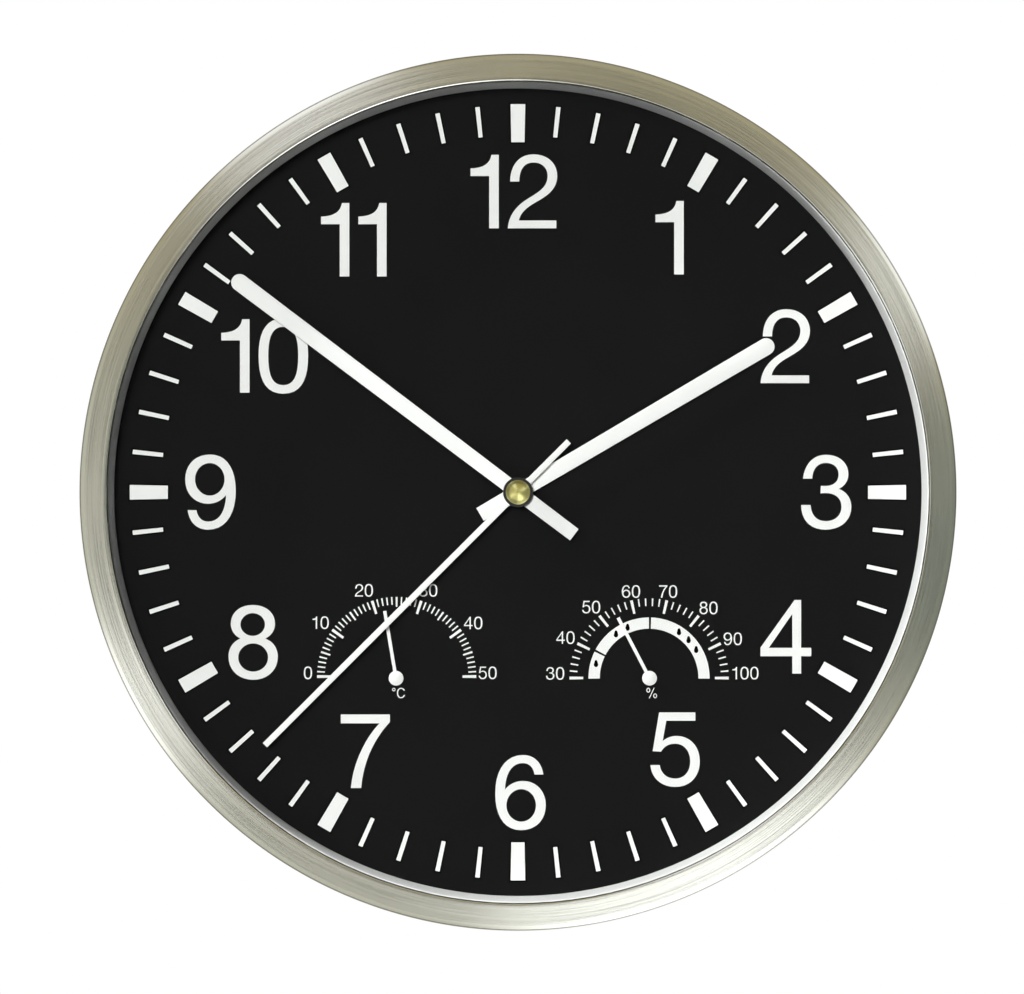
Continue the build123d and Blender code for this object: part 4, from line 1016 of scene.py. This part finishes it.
@dataclass
class Gauge:
    """Half-round scale with its numbers, unit sign and pointer."""

    name: str
    unit: str
    places: dict[int, tuple[float, float]]
    step: int
    middle_step: int
    angle: float
    offset: tuple[float, float]
    band: bool = False
    outer: float = 27.6 * MM
    major: tuple[float, float] = (22.85 * MM, 0.98 * MM)
    middling: tuple[float, float] = (24.2 * MM, 0.66 * MM)
    minor: tuple[float, float] = (24.95 * MM, 0.5 * MM)
    number_height: float = 4.4 * MM
    number_trim: float = 0.05 * MM
    number_gap: float = 0.1
    after_one: float = 0.14
    unit_height: float = 3.6 * MM
    unit_drop: float = 5.2 * MM
    unit_shift: float = 0.8 * MM
    unit_gap: float = 0.12
    band_inner: float = 17.1 * MM
    band_outer: float = 21.0 * MM
    zone_ends: tuple[tuple[float, float], ...] = ((154.2, 180.6), (90.2, 152.0), (-0.6, 88.0))
    drop_bearings: tuple[float, ...] = (165.0, 113.0, 127.0, 31.0, 44.0, 57.0)
    drop_radius: float = 0.85 * MM
    drop_sink: float = 0.3 * MM
    drop_share: float = 0.9
    reach: float = 23.6 * MM
    width: float = 1.15 * MM
    hub: float = 2.55 * MM
    boss: float = 0.45 * MM
    boss_share: float = 0.94
    boss_steps: int = 48
    edge: float = 0.1 * MM
    film: float = 0.05 * MM

    @property
    def node(self) -> str:
        """CAD node of the pointer."""
        return f"{self.name}_pointer"

    def axis(self) -> tuple[float, float]:
        """Place of the pointer's shaft, from the arbor's box."""
        low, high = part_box(f"{self.name}_arbor")
        return (low.x + high.x) / 2, (low.z + high.z) / 2

    def bearing(self, value: float) -> float:
        """Angle of a value in degrees, from 180 at the first number to 0 at the last."""
        first, last = min(self.places), max(self.places)
        return 180.0 * (last - value) / (last - first)

    def scale(self) -> list[list[np.ndarray]]:
        """Shapes of the scale's marks, long at each number, shorter between.

        Returns:
            One shape for each mark.
        """
        (x, z), (right, up) = self.axis(), self.offset
        shapes = []
        for value in range(min(self.places), max(self.places) + 1, self.step):
            inner, width = self.minor
            if value % self.middle_step == 0:
                inner, width = self.middling
            if value % 10 == 0:
                inner, width = self.major
            shapes.append([bar_mark((x + right, z + up), inner, self.outer, width, self.bearing(value))])
        return shapes

    def numbers(self) -> list[list[np.ndarray]]:
        """Shapes of the unit sign and of the upright numbers.

        Each number has its own place, in millimetres to the right of the shaft and above it.

        Returns:
            The shapes of every sign's parts.
        """
        x, z = self.axis()
        below = (x + self.unit_shift, z - self.unit_drop)
        shapes = Lettering.word(self.unit, self.unit_height, below, self.unit_gap)
        for value, (right, up) in self.places.items():
            place = (x + right * MM, z + up * MM)
            shapes += Lettering.word(str(value), self.number_height, place, self.number_gap, self.after_one)
        return shapes

    def band_middle(self) -> tuple[float, float]:
        """Middle of the white band in X and Z."""
        x, z = self.axis()
        return x + self.offset[0], z

    def zones(self) -> list[list[np.ndarray]]:
        """Shapes of the three zones of the white band, parted by thin gaps."""
        return [[sector(self.band_middle(), self.band_inner, self.band_outer, start, end, 24)]
                for start, end in self.zone_ends]

    def drops(self) -> list[list[np.ndarray]]:
        """Shapes of small drops on the zones: one, two and three, from left to right.

        A drop is a circle whose radius is drawn out to a tip on one side: r (1 + k max(sin t, 0)⁶), with
        the share k, by which it is also made narrower.

        Returns:
            One shape for each drop.
        """
        turn = np.radians(np.arange(0.0, 360.0, 12.0))
        stretch = self.drop_radius * (1.0 + self.drop_share * np.maximum(np.sin(turn), 0.0) ** 6)
        across, up = stretch * np.cos(turn) * self.drop_share, stretch * np.sin(turn) - self.drop_sink
        drop, ring = np.stack([across, up], axis=-1), (self.band_inner + self.band_outer) / 2
        return [[drop + arc(self.band_middle(), ring, a, a, 1)] for a in self.drop_bearings]

    def pointer(self) -> Surface:
        """The pointer: most of the hub's circle and the bar to its square end, with a low boss on the hub.

        The boss rises as a cap of height h (1 - s²) at the share s of its radius.

        Returns:
            The closed surfaces of the plate and the boss, turned to the angle at rest.
        """
        low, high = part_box(self.node)
        back, front = -high.y, -low.y
        spread = math.degrees(math.asin(self.width / 2 / self.hub))
        line = chain(arc((0.0, 0.0), self.hub, spread, 360.0 - spread, 40),
                     (self.reach, -self.width / 2), (self.reach, self.width / 2))
        share, radius = np.linspace(1.0, 0.0, 9), self.hub * self.boss_share
        cap = np.stack([share * radius, front + self.boss * (1.0 - share * share)], axis=-1)
        section = chain((0.0, front - self.edge), (radius, front - self.edge), cap)
        return Surface.joined([plate([spun(line, self.angle) + self.axis()], back, front, self.edge),
                               turned(section, self.boss_steps, self.axis())])

    def build(self) -> None:
        """Builds the print on the dial and the pointer on its own body."""
        face = -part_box("dial")[0].y
        back, front, half = face - self.film, face + self.film, self.film / 2
        films(self.scale(), back, front).build(f"{self.name}_scale", "case", Stock.INK, "hand_white")
        numbers = films(self.numbers(), back, front, self.number_trim)
        numbers.build(f"{self.name}_numbers", "case", Stock.INK, "hand_white")
        if self.band:
            films(self.zones(), back, front).build(f"{self.name}_zones", "case", Stock.INK, "hand_white")
            drops = films(self.drops(), front - half, front + half)
            drops.build(f"{self.name}_drops", "case", Stock.BLACK_INK, "dial_black")
        pointer = self.pointer().build(f"{self.node}_plate", f"{self.name}_needle", Stock.HAND, "hand_white")
        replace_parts(pointer, self.node)


@dataclass
class Hand:
    """Flat painted hand: a bar that widens to a round tip, with a square tail and a round hub."""

    node: str
    body: str
    angle: float
    reach: float
    tail: float
    tail_width: float
    tip_width: float
    hub: float
    bore: float
    round_tip: bool = True
    edge: float = 0.12 * MM

    def outlines(self) -> list[np.ndarray]:
        """Outer line and bore, turned clockwise from twelve by the angle.

        The bar's sides meet the hub's circle where y = √(hub² - w²).

        Returns:
            The two outlines in X and Z.
        """
        foot, tip = self.tail_width / 2, self.tip_width / 2
        top = self.reach - (tip if self.round_tip else 0.0)
        waist = foot + (tip - foot) * self.tail / (self.tail + top)
        lean = math.degrees(math.acos(waist / self.hub))
        cap = arc((0.0, top), tip, 0.0, 180.0, 25) if self.round_tip else chain((tip, top), (-tip, top))
        line = chain((foot, -self.tail), arc((0.0, 0.0), self.hub, -lean, lean, 20), cap,
                     arc((0.0, 0.0), self.hub, 180.0 - lean, 180.0 + lean, 20), (-foot, -self.tail))
        return [spun(line, -self.angle), arc((0.0, 0.0), self.bore, 0.0, 360.0, 33)[:-1]]

    def build(self) -> None:
        """Builds the hand in place of its node."""
        low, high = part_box(self.node)
        made = plate(self.outlines(), -high.y, -low.y, self.edge)
        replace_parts(made.build(f"{self.node}_plate", self.body, Stock.HAND, "hand_white"), self.node)


@dataclass
class CentreCap:
    """Dark collar and brass button on the second hand."""

    seat_radius: float = 4.2 * MM
    flat: float = 0.35 * MM
    foot_bevel: float = 0.1 * MM
    bevel: float = 0.55 * MM
    bevel_rise: float = 0.44 * MM
    collar_round: float = 0.3 * MM
    collar_bore: float = 0.56 * MM
    collar_steps: int = 96
    button_steps: int = 128

    def build(self) -> None:
        """Builds both turned pieces in place of their nodes.

        The button is a foot, a sloping rim and a dome r = R sin t, d = top - R (1 - cos t).
        """
        low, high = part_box("second_collar")
        outer, rear, front, bend = high.x, -high.y, -low.y, self.collar_round
        section = chain((self.collar_bore, rear), (outer - bend, rear), (outer, rear + bend),
                        arc((outer - bend, front - bend), bend, 0.0, 90.0, 6), (self.collar_bore, front))
        collar = turned(section, self.collar_steps)
        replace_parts(collar.build("collar_ring", "second", Stock.COLLAR, "movement_black"), "second_collar")
        low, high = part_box("second_cap")
        foot, top, radius = -high.y, -low.y, self.seat_radius
        base, rise = radius - self.bevel, top - foot - self.flat - self.bevel_rise
        sphere = (base * base + rise * rise) / (2 * rise)
        turn = np.linspace(math.asin(base / sphere), 0.0, 24)
        dome = np.stack([sphere * np.sin(turn), top - sphere * (1.0 - np.cos(turn))], axis=-1)
        dome[-1, 0] = 0.0
        section = chain((0.0, foot), (radius - self.foot_bevel, foot), (radius, foot + self.foot_bevel),
                        (radius, foot + self.flat), dome)
        button = turned(section, self.button_steps)
        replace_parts(button.build("cap_button", "second", Stock.CAP, "cap_brass", 50.0), "second_cap")


@dataclass
class BackMarks:
    """Moulding marks on the back: ejector rings on the pan, arrows and polarity signs on the movement."""

    relief: float = 0.3 * MM
    sink: float = 0.05 * MM
    ring: float = 3.0 * MM
    ring_width: float = 0.35 * MM
    ring_slope: float = 0.07 * MM
    ring_steps: int = 28
    sign: float = 3.4 * MM
    stroke: float = 0.7 * MM
    sign_inset: float = 5.0 * MM
    sign_base: float = 4.2 * MM
    arrow_gap: float = 2.0 * MM
    barb: float = 1.0 * MM
    arrows: tuple[tuple[float, float, float], ...] = ((100.0, 165.0, 178.0), (260.0, 195.0, 182.0))
    label: tuple[float, float, float] = (17.0 * MM, 6.0 * MM, 1.5 * MM)
    label_line: float = 0.4 * MM
    label_x: float = -5.0 * MM
    label_drop: float = 10.5 * MM

    def rings(self) -> Surface:
        """Low rings left by the ejector pins, on free places of the pan's web.

        Returns:
            One surface.
        """
        rear = -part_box("movement_case")[0].y
        bearings = {75.0: (17, 60, 120, 163), 116.0: (17, 60, 120, 163, 190, 235, 305, 350),
                    118.0: (255, 285)}
        section = chain((self.ring - self.ring_width, rear + self.sink), (self.ring, rear + self.sink),
                        (self.ring - self.ring_slope, rear - self.relief),
                        (self.ring - self.ring_width + self.ring_slope, rear - self.relief))
        middles = [tuple(arc((0.0, 0.0), radius * MM, a, a, 1)[0])
                   for radius, angles in bearings.items() for a in angles]
        return Surface.joined([turned(section, self.ring_steps, middle) for middle in middles])

    def signs(self) -> Surface:
        """Raised plus, minus, bent arrows and an empty label frame on the movement's cover.

        Returns:
            One surface.
        """
        low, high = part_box("movement_cover")
        knob_low, knob_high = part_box("setting_knob")
        knob = ((knob_low.x + knob_high.x) / 2, (knob_low.z + knob_high.z) / 2)
        rear, base = -high.y, low.z + self.sign_base
        long, thin = self.sign / 2, self.stroke / 2
        arm = np.array([(thin, thin), (thin, long), (-thin, long)])
        cross = np.concatenate([spun(arm, 90.0 * k) for k in range(4)])
        dash = np.array([(-long, -thin), (long, -thin), (long, thin), (-long, thin)])
        shapes = [[cross + (high.x - self.sign_inset, base)], [dash + (low.x + self.sign_inset, base)]]
        sweep = knob_high.x - knob[0] + self.arrow_gap
        for start, end, head in self.arrows:
            barbs = chain(arc(knob, sweep + self.barb, end, end, 1), arc(knob, sweep, head, head, 1),
                          arc(knob, sweep - self.barb, end, end, 1))
            bow = sector(knob, sweep - thin, sweep + thin, min(start, end), max(start, end), 14)
            shapes += [[bow], [barbs]]
        label_z = high.z - self.label_drop
        shapes.append([self.rounded(self.label_x, label_z, *(size - less for size in self.label))
                       for less in (0.0, self.label_line)])
        return films(shapes, rear - self.relief, rear + self.sink)

    @staticmethod
    def rounded(x: float, z: float, half_width: float, half_height: float, radius: float) -> np.ndarray:
        """Outline of a rectangle with round corners: four quarter circles in turn.

        Args:
            x: its middle in X.
            z: its middle in Z.
            half_width: half its width.
            half_height: half its height.
            radius: radius of the corners.

        Returns:
            The closed line.
        """
        wide, high = half_width - radius, half_height - radius
        corners = ((1, -1, -90.0), (1, 1, 0.0), (-1, 1, 90.0), (-1, -1, 180.0))
        return chain(*(arc((x + across * wide, z + up * high), radius, start, start + 90.0, 8)
                       for across, up, start in corners))

    def build(self) -> None:
        """Builds both sets of marks."""
        self.rings().build("pan_rings", "case", Stock.CASE, "case_black")
        self.signs().build("movement_signs", "case", Stock.MOVEMENT, "movement_black")


@dataclass
class Cell:
    """Round dry cell: a steel can with a button end inside a printed sleeve."""

    sleeve: float = 0.12 * MM
    sleeve_starts: tuple[float, ...] = (0.1 * MM, 0.02 * MM, 0.02 * MM, 0.4 * MM)
    sleeve_ends: tuple[float, ...] = (0.6 * MM, 0.05 * MM, 0.05 * MM, 0.3 * MM)
    tuck: float = 0.05 * MM
    crimp: float = 0.5 * MM
    dish: float = 0.25 * MM
    rim_foot: float = 1.2 * MM
    rim_inner: float = 0.9 * MM
    rim_top: float = 1.0 * MM
    rim_round: float = 0.3 * MM
    rim_drop: float = 0.1 * MM
    nub_radius: float = 2.6 * MM
    nub_length: float = 1.2 * MM
    nub_foot: float = 0.8 * MM
    nub_slope: float = 0.4 * MM
    nub_round: float = 0.25 * MM
    steps: int = 96

    def can_section(self, skin: float, body: float, length: float) -> np.ndarray:
        """Section of the can: the dished end, its rim, the wall, the other rim and the button.

        Args:
            skin: radius of the can.
            body: length without the button.
            length: whole length.

        Returns:
            Rows of radius and place along the cell.
        """
        nub, shelf, brim = self.nub_radius, body - self.crimp, body - self.rim_drop
        foot, bend = skin - self.rim_foot, self.rim_round
        return chain((0.0, self.dish), (foot, self.dish), (skin - self.rim_inner, 0.0), (skin - bend, 0.0),
                     (skin, bend), (skin, shelf), (skin - bend, brim), (skin - self.rim_top, brim),
                     (foot, shelf), (nub + self.nub_foot, shelf), (nub + self.nub_slope, body),
                     (nub, body + self.rim_drop),
                     (nub, length - self.nub_round), (nub - self.nub_round, length), (0.0, length))

    def sleeve_section(self, skin: float, body: float) -> np.ndarray:
        """Section of the sleeve: a thin film along the can that is folded in over both rims.

        Args:
            skin: radius of the can.
            body: length without the button.

        Returns:
            Rows of radius and place along the cell.
        """
        radius = skin + self.sleeve
        radii = (skin - self.tuck, skin - self.crimp, radius - self.rim_round, radius)
        return chain(*zip(radii, self.sleeve_starts),
                     *((r, body - gap) for r, gap in zip(radii[::-1], self.sleeve_ends)))

    def build(self) -> None:
        """Builds the can and the sleeve in place of the node, both turned and laid along X."""
        low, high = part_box("battery")
        depth, level = -(low.y + high.y) / 2, (low.z + high.z) / 2
        length, skin = high.x - low.x, (high.z - low.z) / 2 - self.sleeve
        body = length - self.nub_length
        can, film = (turned(section, self.steps).turned_to_x(low.x, depth, level)
                     for section in (self.can_section(skin, body, length), self.sleeve_section(skin, body)))
        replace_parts(can.build("cell_can", "cell", Stock.CAN, "cell_jacket"), "battery")
        film.build("cell_sleeve", "cell", CellSleeve("cell_sleeve", low.x, high.x), "cell_jacket")


class Works:
    """CAD nodes that keep their shape and get a finish."""

    FINISHES: dict[Stock, tuple[str, ...]] = {
        Stock.DIAL: ("dial",),
        Stock.CASE: ("back_plate",),
        Stock.MOVEMENT: ("movement_case", "movement_cover", "bush_nut", "chip", "thermo_cup", "hygro_cup"),
        Stock.KNOB: ("setting_knob",),
        Stock.STEEL: ("rim_tabs", "rim_screws", "hanger_plate", "hanger_screws", "stator", "coil_core",
                      "clutch_washer", "quartz_crystal", "contact_positive", "contact_negative",
                      "gauge_screws"),
        Stock.RUBBER: ("lens_gasket", "bush_washer"),
        Stock.BRASS: ("mounting_bush", "minute_arbor", "thermo_arbor", "hygro_arbor"),
        Stock.NYLON: ("rotor", "intermediate_wheel", "second_wheel", "third_wheel", "centre_wheel",
                      "motion_wheel", "hour_wheel"),
        Stock.COPPER: ("drive_coil",),
        Stock.BOARD: ("circuit_board",),
        Stock.MAGNET: ("rotor_magnet",),
        Stock.BIMETAL: ("thermo_coil", "hygro_coil"),
    }

    def dress(self) -> None:
        """Puts each finish on its nodes' material slots."""
        for stock, names in self.FINISHES.items():
            for name in names:
                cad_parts[name].material_slots[0].material = stock.material()
            log.info("%s on %d nodes", stock.name.lower(), len(names))


class Lamp(Enum):
    """Soft boxes: bearing around the dial and angle off its axis in degrees, width, height and power."""

    FRONT = (138.0, 10.0, 0.35, 0.35, 70.0)
    KEY = (138.0, 80.0, 0.6, 0.6, 195.0)
    REAR = (115.0, 140.0, 0.9, 0.9, 55.0)


class Strip(Enum):
    """Tall reflectors, seen in metal and glass only: bearing and half width in degrees, and colour."""

    SHADE = (352.0, 30.0, (0.28, 0.31, 0.28))
    RIGHT = (30.0, 13.0, (1.45, 1.47, 1.50))
    HIGH = (120.0, 17.0, (1.45, 1.45, 1.53))
    LEFT = (209.0, 14.0, (1.90, 1.92, 2.00))
    LOW = (293.0, 31.0, (2.35, 2.40, 2.52))


@dataclass
class Studio:
    """Camera, lamps, world and floor."""

    camera_gap: float = 1.30
    camera_x: float = -2.05 * MM
    camera_z: float = -1.64 * MM
    lens: float = 133.9
    sensor: float = 36.0
    lamp_distance: float = 2.6
    floor_level: float = -0.30
    floor_radius: float = 0.95
    floor_rings: int = 24
    floor_sides: int = 64
    floor_colour: Colour = (0.32, 0.32, 0.32)
    floor_bounce: Colour = (0.08, 0.08, 0.08)
    floor_fade: tuple[float, float] = (0.45, 0.98)
    upper: Colour = (0.54, 0.495, 0.355)
    lower: Colour = (0.74, 0.74, 0.68)
    beside: Colour = (0.10, 0.085, 0.06)
    beside_share: float = 0.75
    before: Colour = (0.03, 0.03, 0.03)
    fill_before: Colour = (0.01, 0.01, 0.01)
    fill_behind: Colour = (0.4, 0.4, 0.4)
    behind: Colour = (0.85, 0.85, 0.85)
    upper_slant: tuple[float, float] = (-0.44, 0.9)
    upper_span: tuple[float, float] = (-0.2, 0.4)
    beside_span: tuple[float, float] = (0.1, 0.32)
    before_span: tuple[float, float] = (0.975, 0.9915)
    behind_span: tuple[float, float] = (0.7, 0.95)
    fill_span: tuple[float, float] = (0.05, 0.4)

    def camera(self) -> None:
        """Sets the camera straight in front of the clock."""
        data = bpy.data.cameras.new("camera")
        data.lens, data.sensor_width, data.clip_start, data.clip_end = self.lens, self.sensor, 0.01, 50.0
        made = bpy.data.objects.new("camera", data)
        made.location = (self.camera_x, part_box("bezel")[0].y - self.camera_gap, self.camera_z)
        made.rotation_euler = (math.pi / 2, 0.0, 0.0)
        bpy.context.scene.collection.objects.link(made)
        bpy.context.scene.camera = made

    def lamps(self) -> None:
        """Hangs the soft boxes on a ball around the dial; metal and glass don't show them."""
        for lamp in Lamp:
            bearing, off, width, height, power = lamp.value
            turn, lean, distance = math.radians(bearing), math.radians(off), self.lamp_distance
            data = bpy.data.lights.new(lamp.name.lower(), "AREA")
            data.shape, data.size, data.size_y, data.energy = "RECTANGLE", width, height, power
            made = bpy.data.objects.new(lamp.name.lower(), data)
            made.location = (distance * math.sin(lean) * math.cos(turn), -distance * math.cos(lean),
                             distance * math.sin(lean) * math.sin(turn))
            outward = made.location.normalized()
            across = Vector((-math.sin(turn), 0.0, math.cos(turn)))
            made.rotation_euler = Matrix((across, outward.cross(across), outward)).transposed().to_euler()
            made.visible_camera = False
            made.visible_glossy = False
            bpy.context.scene.collection.objects.link(made)

    def world(self) -> None:
        """Sets the surroundings.

        To the eye all is white. Metal and glass show the strips by their bearing, darker behind the clock's
        plane, a dark spot straight before the dial and a pale one straight behind the clock. Matt surfaces
        get a little light from before and more from behind.
        """
        made = bpy.data.worlds.new("studio")
        bpy.context.scene.world = made
        made.use_nodes = True
        bench = Bench(made.node_tree)
        x, y, z = bench.apart(bench.node("ShaderNodeTexCoord", output="Generated"))
        seen = bench.node("ShaderNodeLightPath", output="Is Camera Ray")
        passed = bench.node("ShaderNodeLightPath", output="Is Transmission Ray")
        mirrored = bench.node("ShaderNodeLightPath", output="Is Glossy Ray")
        reach = (x * x + z * z + 1e-6) ** 0.5
        across, up = x / reach, z / reach
        slant = across * self.upper_slant[0] - up * self.upper_slant[1]
        around = bench.tint(bench.span(slant, *self.upper_span), self.upper, self.lower)
        for strip in Strip:
            bearing, half, colour = strip.value
            turn = math.radians(bearing)
            near = across * math.cos(turn) + up * math.sin(turn)
            around = bench.tint(bench.span(near, math.cos(math.radians(half)), 1.0), around, colour)
        around = bench.tint(bench.span(y, *self.beside_span) * self.beside_share, around, self.beside)
        studio = bench.tint(bench.span(0.0 - y, *self.before_span), around, self.before)
        dim = bench.tint(mirrored, self.fill_before, studio)
        filled, shown = bench.span(y, *self.fill_span), bench.span(y, *self.behind_span)
        back = filled * (1.0 - mirrored) + shown * mirrored
        lit = bench.tint(back, dim, bench.tint(mirrored, self.fill_behind, self.behind))
        colour = bench.tint((seen + passed).limit(), lit, (1.0, 1.0, 1.0))
        shade = bench.node("ShaderNodeBackground", sockets={"Color": colour, "Strength": 1.0})
        bench.node("ShaderNodeOutputWorld", sockets={"Surface": shade})

    def floor(self) -> None:
        """Lays a round floor under the clock, as rings of points x = r cos t, y = r sin t."""
        rings, sides, here = self.floor_rings, self.floor_sides, np.arange(self.floor_sides)
        radius = np.linspace(0.0, self.floor_radius, rings + 1)[1:, None]
        turn = np.linspace(0.0, 2 * np.pi, sides + 1)[:-1]
        level = np.full((rings, sides), self.floor_level)
        flat = np.stack([radius * np.cos(turn), radius * np.sin(turn), level], axis=-1).reshape(-1, 3)
        hub = np.stack([np.full(sides, len(flat)), here, (here + 1) % sides], axis=-1)
        points = np.concatenate([flat, [[0.0, 0.0, self.floor_level]]])
        quads = grid_quads(rings, sides, False)[:, ::-1]
        mesh = bpy.data.meshes.new("floor")
        mesh.from_pydata(points.tolist(), [], quads.tolist() + hub.tolist())
        near, far = (self.floor_radius * share for share in self.floor_fade)
        finish = PaleFloor("pale_floor", self.floor_colour, self.floor_bounce, near, far)
        mesh.materials.append(finish.material())
        made = bpy.data.objects.new("floor", mesh)
        made.visible_glossy = False
        bpy.context.scene.collection.objects.link(made)

    def build(self) -> None:
        """Sets up the whole studio."""
        self.camera()
        self.lamps()
        self.world()
        self.floor()
        bpy.context.scene.view_settings.view_transform = "Standard"


def main() -> None:
    """Builds the clock in order."""
    logging.basicConfig(level=logging.INFO, format="%(name)s %(message)s")
    Studio().build()
    Case().build()
    Works().dress()
    DialPrint().build()
    Gauge("thermo", "oC", {0: (-30.6, 1.8), 10: (-26.2, 19.2), 20: (-11.2, 30.4), 30: (11.1, 30.4),
                           40: (26.7, 19.1), 50: (31.7, 1.8)},
          step=1, middle_step=5, angle=99.6, offset=(0.15 * MM, 0.5 * MM)).build()
    Gauge("hygro", "%", {30: (-32.7, 1.6), 40: (-29.1, 14.0), 50: (-20.2, 24.6), 60: (-6.4, 30.0),
                         70: (6.5, 30.0), 80: (20.5, 24.3), 90: (28.9, 13.6), 100: (33.3, 1.7)},
          step=2, middle_step=10, angle=117.5, offset=(-0.12 * MM, 0.0), band=True).build()
    Hand("hour_hand", "hour", 59.6, reach=102.4 * MM, tail=15.2 * MM, tail_width=5.1 * MM, tip_width=5.9 * MM,
         hub=4.6 * MM, bore=2.5 * MM).build()
    Hand("minute_hand", "minute", 307.0, reach=123.2 * MM, tail=24.4 * MM, tail_width=4.9 * MM,
         tip_width=5.9 * MM, hub=4.4 * MM, bore=1.6 * MM).build()
    Hand("second_hand", "second", 225.0, reach=123.3 * MM, tail=24.8 * MM, tail_width=2.1 * MM,
         tip_width=2.1 * MM, hub=4.0 * MM, bore=0.5 * MM, round_tip=False).build()
    CentreCap().build()
    BackMarks().build()
    Cell().build()


if __name__ == "__main__":
    main()
